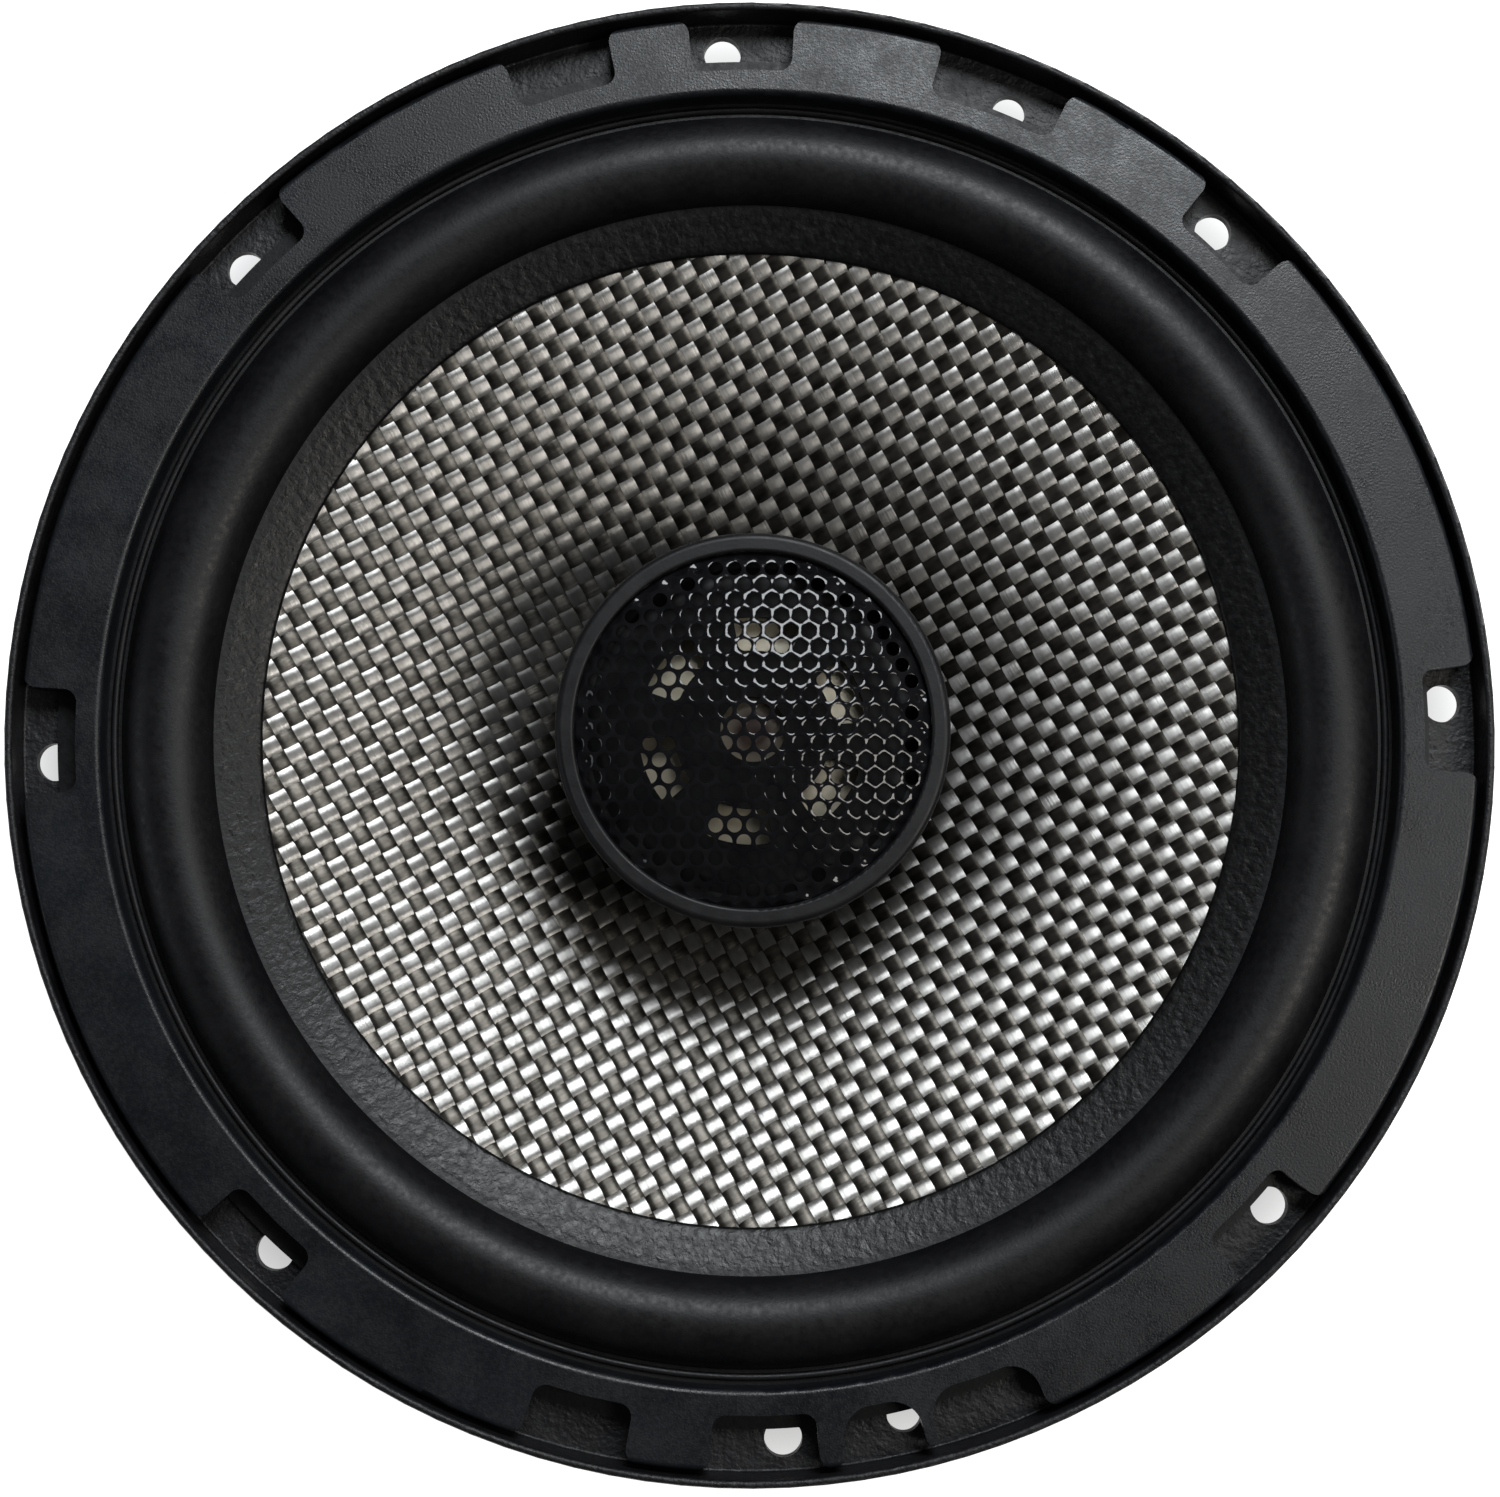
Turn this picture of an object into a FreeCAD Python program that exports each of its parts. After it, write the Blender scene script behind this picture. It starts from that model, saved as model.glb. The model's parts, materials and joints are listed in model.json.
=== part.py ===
"""Coaxial car speaker: one file for each separate piece, all in one shared frame.

Millimetres. +Z is the listening direction. The origin is where the speaker's axis meets the rear face of
the mounting flange. Rings and shells are drawn as an outline of (radius, height) corners and turned
around the axis. Clock angles run clockwise from +Y, seen from the front.
"""
import FreeCAD
import Part
import math
import os

# Driving dimensions
FLANGE_R = 82.5
STEEL = 1.5
LIP_WALL = 0.9
LIP_ROUND = 0.42
LIP_TOP = 6.3
THROAT_R = 69.0

# Screw holes and the pockets that the front ring leaves around them, in clock degrees
SCREW_CIRCLE_R = 78.0
SCREW_HOLE_R = 2.1
SCREW_COUNT = 8
FIRST_SCREW = -2.5
EXTRA_CIRCLE_R = 77.3
EXTRA_HOLE_R = 1.9
EXTRA_SCREWS = (22.4, 167.5)
PLAIN_POCKETS = ((15.5, 26.5), (190.0, 198.3), (339.6, 348.2))
ARCHED_POCKETS = ((156.4, 165.4), (166.3, 172.7))
POCKET_BEFORE = 2.75
POCKET_AFTER = 5.85
POCKET_INNER_R = 74.8
POCKET_ROUND = 1.5
POCKET_BACK_ROUND = 10.0
ARCH_ROUND = 3.4
TAB_ROUND = 1.6

# Front ring
RING_OUTER_R = 80.9
RING_INNER_R = 72.0
RING_TOP = 5.7
RING_ROUND = 0.7
RING_STEP_R = 77.6
RUBBER_FLANGE = 0.8
RUBBER_FLANGE_R = 75.6

# Basket below the flange
BAND_BOTTOM = -7.0
LEG_FOOT_R = 49.5
LEG_FOOT_Z = -22.5
LEG_SKIN = 1.2
LEDGE_Z = -25.0
LEDGE_OUTER_R = 47.8
LEDGE_INNER_R = 41.5
POT_R = 40.8
BASE_Z = -34.5
BASE_INNER_R = 22.0
WINDOWS = 6
FIRST_WINDOW = 30.0
WINDOW_SPAN = 38.0
WINDOW_TOP = -9.0
WINDOW_BOTTOM = -21.0
WINDOW_ROUND = 3.0
RIB_SPAN = 6.0
RIB_RISE = 1.2
RIB_LOW = (52.5, -22.1)
RIB_HIGH = (69.5, -8.5)
VENT_SPAN = 16.0
VENT_BOTTOM = -32.5
VENT_TOP = -28.0

# Cone
NECK_R = 13.6
NECK_Z = -20.0
NECK_SLOPE = 0.70
NECK_COLLAR = 2.2
RIM_START_R = 54.5
RIM_START_Z = -1.0
RIM_SLOPE = 0.35
CONE_R = 60.2
CONE_WALL = 0.7

# Rubber half roll
COVERED_FROM_R = 55.2
RUBBER_WALL = 0.75
ROLL_INNER_R = 60.3
ROLL_MIDDLE_R = 65.3
ROLL_OUTER_R = 70.4
ROLL_TOP = 6.1
BEAD_R = 71.15
BEAD_HALF_WIDTH = 0.45
BEAD_RISE = 0.5

# Voice coil and motor
FORMER_INNER_R = 12.75
FORMER_OUTER_R = 13.05
FORMER_TOP = -19.8
FORMER_BOTTOM = -44.5
WINDING_R = 13.7
WINDING_TOP = -33.0
WINDING_BOTTOM = -44.0
SCREEN = 0.4
PLATE_R = 40.0
PLATE = 5.0
PLATE_BORE_R = 14.2
MAGNET_R = 42.5
MAGNET_BORE_R = 22.0
MAGNET = 15.0
MAGNET_CHAMFER = 1.0
POLE_R = 12.4
POLE_BORE_R = 4.2
NUT_POCKET_R = 8.0
NUT_SEAT_Z = -53.1
NUT_ACROSS_FLATS = 12.0
NUT = 3.5
LEAD_GROOVE_HALF_WIDTH = 2.5
LEAD_GROOVE_TOP = -57.4
RIVET_CIRCLE_R = 31.0
RIVET_R = 2.0
RIVET_HEAD_R = 3.6
RIVET_REACH = 4.0

# Spider
SPIDER_WAVES = 5
SPIDER_WAVE = 1.1
SPIDER_WALL = 0.5
SPIDER_COLLAR_WALL = 0.6
SPIDER_COLLAR = 1.2
SPIDER_FROM_R = 16.0
SPIDER_TO_R = 41.0
SPIDER_R = 46.8

# Terminals, on the -Y side
TERMINAL_X = 7.0
BOARD_HALF_WIDTH = 14.0
BOARD_INNER_Y = -53.0
BOARD_OUTER_Y = -65.7
BOARD = 1.8
BOARD_ROUND = 1.5
SHELF_HALF_WIDTH = 13.0
SHELF_OUTER_Y = -58.5
LUG = 0.8
LUG_FOOT_Y = -57.5
TAB_FACE_Y = -66.0
TAB_BOTTOM = -36.0
TAB_HOLE_R = 0.9
TAB_HOLE_Z = -33.6
WIDE_TAB = 6.3
NARROW_TAB = 4.8
LUG_RIVET_R = 1.2
LUG_RIVET_Y = -62.3
BOARD_RIVET_R = 1.4
BOARD_RIVET_X = 9.5
BOARD_RIVET_Y = -55.1
RIVET_CAP_R = 2.0
RIVET_CAP = 0.5

# Leads
TINSEL_R = 0.6
TINSEL_LOW_Z = -18.8
TINSEL_HIGH_Z = -13.5
TINSEL_TURN_Z = -16.0
TINSEL_END_Y = -59.3
LEAD_JOINT_Y = -30.5
LEAD_JOINT_R = 1.2
LEAD_JOINT_DROP = 2.6
COIL_WIRE_R = 0.25
COIL_WIRE_END = (5.92, -11.91, -22.78)
LEAD_R = 0.7
LEAD_X = 0.95
LEAD_START_X = 16.2
LEAD_TURN_Z = -7.5
GROOVE_Z = -59.0
LEAD_SIDE_Y = -44.6
LEAD_TAB_Z = -29.0
CAPACITOR_R = 4.0
CAPACITOR_Z = -31.2
CAPACITOR_Y = (-48.0, -62.0)
CAPACITOR_WIRE_R = 0.4
ADHESIVE_Y = (-57.5, -50.0)
ADHESIVE_HALF_WIDTH = 2.6
SOLDER_R = 1.2
SOLDER = 0.8

# Tweeter housing, post and motor
TWEETER_R = 21.9
TWEETER_FLOOR = -10.0
TWEETER_WALL = 1.5
HOUSING_NECK_Z = -4.0
HOUSING_SHOULDER_Z = -0.4
SEAT_Z = 0.2
SEAT_R = 17.2
HOUSING_TOP = 3.5
PAD_R = (9.5, 14.5)
PAD_SPAN = 40.0
MOUNT_SCREWS = 4
FIRST_MOUNT_SCREW = 45.0
MOUNT_SCREW_CIRCLE_R = 12.0
MOUNT_SCREW_R = 1.0
MOUNT_SCREW_HEAD_R = 1.9
MOUNT_SCREW_HEAD = 1.2
RECESS_HALF_LENGTH = 1.2
RECESS_HALF_WIDTH = 0.2
RECESS = 0.6
POST_R = 5.5
POST_FLANGE_R = 15.0
POST_FLANGE = 2.0
STEM_R = 4.0
STEM_BORE_R = 2.2
STEM_END = -57.2
YOKE_R = 15.2
YOKE_BORE_R = 13.4
YOKE_BOTTOM = -6.5
YOKE_FLOOR = 1.7
TWEETER_PLATE_R = 12.0
TWEETER_PLATE = 1.8

# Tweeter dome, its winding and the roll around it
DOME_R = 12.9
DOME_EDGE_Z = 1.4
DOME_RISE = 3.2
DOME_FLANGE_R = 13.1
FILM = 0.3
TWEETER_FORMER_R = 12.5
TWEETER_FORMER_WALL = 0.15
TWEETER_FORMER_BOTTOM = -2.8
TWEETER_WINDING = 0.3
TWEETER_WINDING_Z = (-2.2, 0.8)
TWEETER_ROLL_MIDDLE_R = 14.4
TWEETER_ROLL_OUTER_R = 15.7
TWEETER_ROLL_FLANGE_R = 17.3
TWEETER_ROLL_RISE = 1.0
CARRIER_INNER_R = 14.0
CARRIER = 1.0

# Guard over the dome: (radius, height) along its lower face, and its windows
GUARD_RIM_R = 17.6
GUARD_WALL = 1.0
GUARD_FACE = ((3.6, 5.5), (8.8, 5.1), (12.7, 4.2), (18.4, 2.6))
GUARD_WINDOWS = 6
FIRST_GUARD_WINDOW = 82.0
GUARD_WINDOW_SPAN = 36.0
GUARD_WINDOW_R = (8.8, 12.7)

# Grille and the ring around it
GRILLE_R = 20.2
GRILLE_EDGE_Z = 5.9
GRILLE_RISE = 4.5
GRILLE_SHEET = 0.5
GRILLE_PITCH = 2.06
GRILLE_HOLE_R = 0.8
GRILLE_PLAIN_EDGE = 1.0
GRILLE_FOOT_Z = 3.6
TRIM_GAP = 0.15
TRIM_TOP = 7.0
TRIM_LIP_R = 19.75
TRIM_LIP_Z = 6.4


def at(radius, height):
    """A point of an outline."""
    return FreeCAD.Vector(radius, 0, height)


def clock_point(radius, clock, height):
    """A point given by its clock angle."""
    angle = math.radians(90 - clock)
    return FreeCAD.Vector(radius * math.cos(angle), radius * math.sin(angle), height)


def corner_round(before, corner, after, radius):
    """Start, middle and end of the tangent arc that rounds a corner."""
    to_before = (before - corner).normalize()
    to_after = (after - corner).normalize()
    half_angle = to_before.getAngle(to_after) / 2
    reach = radius / math.tan(half_angle)
    towards_centre = (to_before + to_after).normalize()
    centre = corner + towards_centre * (radius / math.sin(half_angle))
    return corner + to_before * reach, centre - towards_centre * radius, corner + to_after * reach


def rounded_edges(corners, closed):
    """Straight runs through the corners, with a tangent arc at each corner that carries a radius."""
    count = len(corners)
    pieces = []
    for index, (corner, radius) in enumerate(corners):
        is_end = not closed and index in (0, count - 1)
        if radius == 0 or is_end:
            pieces.append((corner, None, corner))
        else:
            before = corners[index - 1][0]
            after = corners[(index + 1) % count][0]
            pieces.append(corner_round(before, corner, after, radius))
    edges = []
    for index, (start, middle, end) in enumerate(pieces):
        if middle is not None:
            edges.append(Part.Arc(start, middle, end).toShape())
        if closed or index < count - 1:
            next_start = pieces[(index + 1) % count][0]
            edges.append(Part.LineSegment(end, next_start).toShape())
    return edges


def outline(*corners):
    """Closed edges from (radius, height) corners; a third number rounds that corner."""
    points = []
    for corner in corners:
        rounding = corner[2] if len(corner) > 2 else 0
        points.append((at(corner[0], corner[1]), rounding))
    return rounded_edges(points, closed=True)


def turned(edges, span=360.0, start=0.0):
    """Turn a closed outline around the axis."""
    face = Part.Face(Part.Wire(Part.__sortEdges__(edges)))
    solid = face.revolve(FreeCAD.Vector(0, 0, 0), FreeCAD.Vector(0, 0, 1), span)
    solid.rotate(FreeCAD.Vector(0, 0, 0), FreeCAD.Vector(0, 0, 1), start)
    return solid


def ring(inner_radius, outer_radius, bottom, top, rounding=0):
    """A plain ring or tube, with its four long edges rounded."""
    return turned(outline(
        (inner_radius, bottom, rounding),
        (outer_radius, bottom, rounding),
        (outer_radius, top, rounding),
        (inner_radius, top, rounding),
    ))


def pin(radius, bottom, top, x, y):
    """An upright cylinder."""
    return Part.makeCylinder(radius, top - bottom, FreeCAD.Vector(x, y, bottom))


def along_y(radius, y_from, y_to, x, z):
    """A cylinder along Y."""
    start = FreeCAD.Vector(x, max(y_from, y_to), z)
    return Part.makeCylinder(radius, abs(y_to - y_from), start, FreeCAD.Vector(0, -1, 0))


def block(x_from, x_to, y_from, y_to, z_from, z_to):
    """A box between two corners."""
    corner = FreeCAD.Vector(x_from, y_from, z_from)
    return Part.makeBox(x_to - x_from, y_to - y_from, z_to - z_from, corner)


def spread(solid, count, first):
    """Copies of a solid, evenly spaced around the axis."""
    copies = []
    for number in range(count):
        copy = solid.copy()
        copy.rotate(FreeCAD.Vector(0, 0, 0), FreeCAD.Vector(0, 0, 1), first + number * 360.0 / count)
        copies.append(copy)
    return copies


def wire_lead(points, radius):
    """A round wire through the points, with tangent bends."""
    edges = rounded_edges(points, closed=False)
    path = Part.Wire(edges)
    direction = points[1][0] - points[0][0]
    section = Part.Wire(Part.makeCircle(radius, points[0][0], direction))
    return path.makePipeShell([section], True, True)


def rim_height(radius):
    """Height of the straight outer part of the cone's front."""
    return RIM_START_Z + RIM_SLOPE * (radius - RIM_START_R)


def cone_curve(lowered):
    """The curved part of the cone's wall, from the neck to the straight rim."""
    third = (RIM_START_R - NECK_R) / 3
    curve = Part.BezierCurve()
    curve.setPoles([
        at(NECK_R, NECK_Z - lowered),
        at(NECK_R + third, NECK_Z + NECK_SLOPE * third - lowered),
        at(RIM_START_R - third, RIM_START_Z - RIM_SLOPE * third - lowered),
        at(RIM_START_R, RIM_START_Z - lowered),
    ])
    return curve.toShape()


def cone_front_height(radius):
    """Height of the cone's curved front at a radius."""
    third = (RIM_START_R - NECK_R) / 3
    part = (radius - NECK_R) / (RIM_START_R - NECK_R)
    rest = 1 - part
    first_pull = NECK_Z + NECK_SLOPE * third
    second_pull = RIM_START_Z - RIM_SLOPE * third
    return (rest ** 3 * NECK_Z + 3 * rest ** 2 * part * first_pull
            + 3 * rest * part ** 2 * second_pull + part ** 3 * RIM_START_Z)


def screw_clocks():
    """Clock angles of the mounting screws."""
    return [FIRST_SCREW + 360.0 / SCREW_COUNT * number for number in range(SCREW_COUNT)]


def basket_window():
    """One rounded window between two legs."""
    inner = LEDGE_INNER_R
    outer = THROAT_R + 10
    tool = turned(outline(
        (inner, WINDOW_BOTTOM), (outer, WINDOW_BOTTOM), (outer, WINDOW_TOP), (inner, WINDOW_TOP),
    ), WINDOW_SPAN, -WINDOW_SPAN / 2)
    radial = [edge for edge in tool.Edges if edge.Curve.TypeId == "Part::GeomLine"
              and abs(edge.BoundBox.ZLength) < 0.01]
    return tool.makeFillet(WINDOW_ROUND, radial)


def leg_rib():
    """A raised rib down the outside of one leg."""
    low_r, low_z = RIB_LOW
    high_r, high_z = RIB_HIGH
    return turned(outline(
        (low_r, low_z), (high_r, high_z), (high_r, high_z - 1.3 * RIB_RISE), (low_r + 1, low_z - RIB_RISE),
    ), RIB_SPAN, -RIB_SPAN / 2)


def make_basket():
    """Pressed steel frame: flange with raised lip, six legs, spider ledge and base."""
    shell = turned(outline(
        (THROAT_R, STEEL, 1.2),
        (THROAT_R, BAND_BOTTOM, 3.0),
        (LEG_FOOT_R, LEG_FOOT_Z, 1.5),
        (LEDGE_OUTER_R, LEDGE_Z, 0.6),
        (LEDGE_INNER_R, LEDGE_Z, 0.8),
        (POT_R, BASE_Z, 1.0),
        (BASE_INNER_R, BASE_Z),
        (BASE_INNER_R, BASE_Z - STEEL),
        (POT_R + STEEL, BASE_Z - STEEL, 1.8),
        (LEDGE_INNER_R + STEEL, LEDGE_Z - STEEL, 0.5),
        (LEDGE_OUTER_R + 1.1, LEDGE_Z - STEEL, 1.6),
        (LEG_FOOT_R + LEG_SKIN, LEG_FOOT_Z - LEG_SKIN, 0.8),
        (THROAT_R + STEEL, BAND_BOTTOM - 0.7, 2.0),
        (THROAT_R + STEEL, 0, 0.8),
        (FLANGE_R, 0, 1.2),
        (FLANGE_R, LIP_TOP, LIP_ROUND),
        (FLANGE_R - LIP_WALL, LIP_TOP, LIP_ROUND),
        (FLANGE_R - LIP_WALL, STEEL, 0.3),
    ))
    ribs = spread(leg_rib(), WINDOWS, FIRST_WINDOW - 180.0 / WINDOWS)
    shelf = block(-SHELF_HALF_WIDTH, SHELF_HALF_WIDTH, SHELF_OUTER_Y, -47.0, LEDGE_Z - STEEL, LEDGE_Z)
    basket = shell.fuse(ribs + [shelf])
    vent = turned(outline(
        (POT_R - 2, VENT_BOTTOM), (POT_R + 3, VENT_BOTTOM), (POT_R + 3, VENT_TOP), (POT_R - 2, VENT_TOP),
    ), VENT_SPAN, -VENT_SPAN / 2)
    cuts = spread(basket_window(), WINDOWS, FIRST_WINDOW) + spread(vent, WINDOWS, 0)
    for clock in screw_clocks():
        spot = clock_point(SCREW_CIRCLE_R, clock, -1)
        cuts.append(pin(SCREW_HOLE_R, -1, STEEL + 1, spot.x, spot.y))
    for clock in EXTRA_SCREWS:
        spot = clock_point(EXTRA_CIRCLE_R, clock, -1)
        cuts.append(pin(EXTRA_HOLE_R, -1, STEEL + 1, spot.x, spot.y))
    cuts += rivet_shanks()
    cuts += board_rivet_shanks()
    return basket.cut(cuts).removeSplitter()


def ring_pocket(start, end, rounding):
    """Space of one pocket of the front ring, between two clock angles."""
    low = STEEL - 1
    start_corner = clock_point(RING_OUTER_R, start, low)
    end_corner = clock_point(RING_OUTER_R, end, low)
    past_start = clock_point(RING_OUTER_R, start - 90, 0).normalize() * 2 * TAB_ROUND
    past_end = clock_point(RING_OUTER_R, end + 90, 0).normalize() * 2 * TAB_ROUND
    corners = [
        (start_corner + past_start, 0),
        (start_corner, TAB_ROUND),
        (clock_point(POCKET_INNER_R, start, low), rounding),
        (clock_point(POCKET_INNER_R, (start + end) / 2, low), POCKET_BACK_ROUND),
        (clock_point(POCKET_INNER_R, end, low), rounding),
        (end_corner, TAB_ROUND),
        (end_corner + past_end, 0),
        (clock_point(RING_OUTER_R + 5, end, low), 0),
        (clock_point(RING_OUTER_R + 5, start, low), 0),
    ]
    edges = rounded_edges(corners, closed=True)
    return Part.Face(Part.Wire(edges)).extrude(FreeCAD.Vector(0, 0, RING_TOP + 2))


def make_gasket_ring():
    """Moulded front ring that clamps the rubber edge and leaves pockets for the screws."""
    body = turned(outline(
        (RING_STEP_R, STEEL),
        (RING_OUTER_R, STEEL),
        (RING_OUTER_R, RING_TOP, RING_ROUND),
        (RING_INNER_R, RING_TOP, RING_ROUND),
        (RING_INNER_R, STEEL + RUBBER_FLANGE),
        (RING_STEP_R, STEEL + RUBBER_FLANGE),
    ))
    pockets = []
    for clock in screw_clocks():
        pockets.append(ring_pocket(clock - POCKET_BEFORE, clock + POCKET_AFTER, POCKET_ROUND))
    for start, end in PLAIN_POCKETS:
        pockets.append(ring_pocket(start, end, POCKET_ROUND))
    for start, end in ARCHED_POCKETS:
        pockets.append(ring_pocket(start, end, ARCH_ROUND))
    return body.cut(pockets)


def make_surround():
    """Rubber half roll between the cone and the flange, with a bead at its outer edge."""
    floor = STEEL
    top = STEEL + RUBBER_FLANGE
    bead_inner = BEAD_R - BEAD_HALF_WIDTH
    bead_outer = BEAD_R + BEAD_HALF_WIDTH
    covered = COVERED_FROM_R
    corners = [
        at(covered, rim_height(covered)),
        at(CONE_R, rim_height(CONE_R)),
        at(ROLL_INNER_R + RUBBER_WALL, rim_height(CONE_R) + 0.25),
        at(ROLL_OUTER_R - RUBBER_WALL, floor),
        at(RUBBER_FLANGE_R, floor),
        at(RUBBER_FLANGE_R, top),
        at(bead_outer, top),
        at(bead_inner, top),
        at(ROLL_OUTER_R, top),
        at(ROLL_INNER_R, rim_height(ROLL_INNER_R) + RUBBER_WALL),
        at(covered, rim_height(covered) + RUBBER_WALL),
    ]
    crest_below = at(ROLL_MIDDLE_R, ROLL_TOP - RUBBER_WALL)
    crest_above = at(ROLL_MIDDLE_R, ROLL_TOP)
    bead_crest = at(BEAD_R, top + BEAD_RISE)
    arcs = {2: crest_below, 6: bead_crest, 8: crest_above}
    edges = []
    for index, corner in enumerate(corners):
        following = corners[(index + 1) % len(corners)]
        if index in arcs:
            edges.append(Part.Arc(corner, arcs[index], following).toShape())
        else:
            edges.append(Part.LineSegment(corner, following).toShape())
    return turned(edges)


def make_cone():
    """Woven cone: neck collar glued to the former, curved wall and straight rim."""
    rim_top = at(CONE_R, rim_height(CONE_R))
    rim_bottom = at(CONE_R, rim_height(CONE_R) - CONE_WALL)
    collar_bottom = NECK_Z - NECK_COLLAR
    edges = [
        cone_curve(0),
        Part.LineSegment(at(RIM_START_R, RIM_START_Z), rim_top).toShape(),
        Part.LineSegment(rim_top, rim_bottom).toShape(),
        Part.LineSegment(rim_bottom, at(RIM_START_R, RIM_START_Z - CONE_WALL)).toShape(),
        cone_curve(CONE_WALL),
        Part.LineSegment(at(NECK_R, NECK_Z - CONE_WALL), at(NECK_R, collar_bottom)).toShape(),
        Part.LineSegment(at(NECK_R, collar_bottom), at(FORMER_OUTER_R, collar_bottom)).toShape(),
        Part.LineSegment(at(FORMER_OUTER_R, collar_bottom), at(FORMER_OUTER_R, NECK_Z)).toShape(),
        Part.LineSegment(at(FORMER_OUTER_R, NECK_Z), at(NECK_R, NECK_Z)).toShape(),
    ]
    return turned(edges)


def make_dust_screen():
    """Ring of fine cloth that closes the former around the tweeter post."""
    return ring(POST_R + 0.8, FORMER_INNER_R, NECK_Z - SCREEN, NECK_Z)


def make_former():
    """Thin tube that carries the winding."""
    return ring(FORMER_INNER_R, FORMER_OUTER_R, FORMER_BOTTOM, FORMER_TOP)


def make_winding():
    """Copper winding in the motor's gap."""
    return ring(FORMER_OUTER_R, WINDING_R, WINDING_BOTTOM, WINDING_TOP, 0.15)


def spider_curve(raised):
    """One face of the spider's waves."""
    steps = SPIDER_WAVES * 8
    points = []
    for step in range(steps + 1):
        part = step / steps
        radius = SPIDER_FROM_R + part * (SPIDER_TO_R - SPIDER_FROM_R)
        height = LEDGE_Z + SPIDER_WAVE * (1 - math.cos(2 * math.pi * SPIDER_WAVES * part)) / 2
        points.append(at(radius, height + raised))
    curve = Part.BSplineCurve()
    curve.interpolate(points)
    return curve.toShape()


def make_spider():
    """Corrugated cloth disc that centres the former."""
    low = LEDGE_Z
    high = LEDGE_Z + SPIDER_WALL
    collar_r = FORMER_OUTER_R + SPIDER_COLLAR_WALL
    collar_top = high + SPIDER_COLLAR
    corners = [
        at(SPIDER_FROM_R, high),
        at(collar_r, high),
        at(collar_r, collar_top),
        at(FORMER_OUTER_R, collar_top),
        at(FORMER_OUTER_R, low),
        at(SPIDER_FROM_R, low),
    ]
    edges = [spider_curve(0), spider_curve(SPIDER_WALL)]
    for start, end in zip(corners, corners[1:]):
        edges.append(Part.LineSegment(start, end).toShape())
    outer = [at(SPIDER_TO_R, low), at(SPIDER_R, low), at(SPIDER_R, high), at(SPIDER_TO_R, high)]
    for start, end in zip(outer, outer[1:]):
        edges.append(Part.LineSegment(start, end).toShape())
    return turned(edges)


def plate_top():
    """Height of the top plate's upper face, against the basket's base."""
    return BASE_Z - STEEL


def back_z():
    """Height of the speaker's rearmost face."""
    return plate_top() - PLATE - MAGNET - PLATE


def rivet_shanks():
    """Shanks of the rivets that hold the basket to the top plate."""
    shank = pin(RIVET_R, plate_top() - RIVET_REACH, BASE_Z, RIVET_CIRCLE_R, 0)
    return spread(shank, WINDOWS, FIRST_WINDOW)


def make_basket_rivets():
    """Rivets with low round heads above the basket's base."""
    side = (RIVET_HEAD_R - 0.2, BASE_Z + 0.7, 0.3)
    head = turned(outline((0, BASE_Z), (RIVET_HEAD_R, BASE_Z), side, (0, BASE_Z + 1.2)))
    head.translate(FreeCAD.Vector(RIVET_CIRCLE_R, 0, 0))
    rivets = []
    for shank, cap in zip(rivet_shanks(), spread(head, WINDOWS, FIRST_WINDOW)):
        rivets.append(shank.fuse(cap).removeSplitter())
    return Part.makeCompound(rivets)


def make_top_plate():
    """Soft iron ring around the front of the gap."""
    top = plate_top()
    return ring(PLATE_BORE_R, PLATE_R, top - PLATE, top, 0.3).cut(rivet_shanks())


def make_ferrite_magnet():
    """Ring magnet with ground faces and chamfered edges."""
    top = plate_top() - PLATE
    bottom = top - MAGNET
    face_r = MAGNET_R - MAGNET_CHAMFER
    return turned(outline(
        (MAGNET_BORE_R, bottom), (face_r, bottom), (MAGNET_R, bottom + MAGNET_CHAMFER),
        (MAGNET_R, top - MAGNET_CHAMFER), (face_r, top), (MAGNET_BORE_R, top),
    ))


def make_back_plate_pole():
    """Back plate and pole in one forging, bored for the tweeter post and grooved for its leads."""
    back = back_z()
    plate = turned(outline(
        (POLE_BORE_R, back), (PLATE_R, back, 1.2), (PLATE_R, back + PLATE, 0.5),
        (POLE_R, back + PLATE, 1.0), (POLE_R, plate_top(), 0.4), (POLE_BORE_R, plate_top()),
    ))
    pocket = Part.makeCylinder(NUT_POCKET_R, NUT_SEAT_Z - back + 1, FreeCAD.Vector(0, 0, back - 1))
    half_width = LEAD_GROOVE_HALF_WIDTH
    groove = block(-half_width, half_width, -PLATE_R - 1, 0, back - 1, LEAD_GROOVE_TOP)
    return plate.cut([pocket, groove])


def make_tweeter_post():
    """Hollow post: a stem through the pole, a shoulder on it and a flange under the tweeter."""
    flange_z = TWEETER_FLOOR - POST_FLANGE
    post = turned(outline(
        (STEM_BORE_R, STEM_END), (STEM_R, STEM_END, 0.3), (STEM_R, plate_top()),
        (POST_R, plate_top()), (POST_R, flange_z, 1.0), (POST_FLANGE_R, flange_z, 0.4),
        (POST_FLANGE_R, TWEETER_FLOOR), (STEM_BORE_R, TWEETER_FLOOR),
    ))
    return post.cut(mount_screw_shanks())


def make_post_nut():
    """Hexagon nut in the back plate's pocket."""
    corner_r = NUT_ACROSS_FLATS / math.sqrt(3)
    corners = [clock_point(corner_r, 60 * number, NUT_SEAT_Z - NUT) for number in range(7)]
    prism = Part.Face(Part.makePolygon(corners)).extrude(FreeCAD.Vector(0, 0, NUT))
    return prism.cut(pin(STEM_R, NUT_SEAT_Z - 5, NUT_SEAT_Z + 1, 0, 0))


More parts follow.
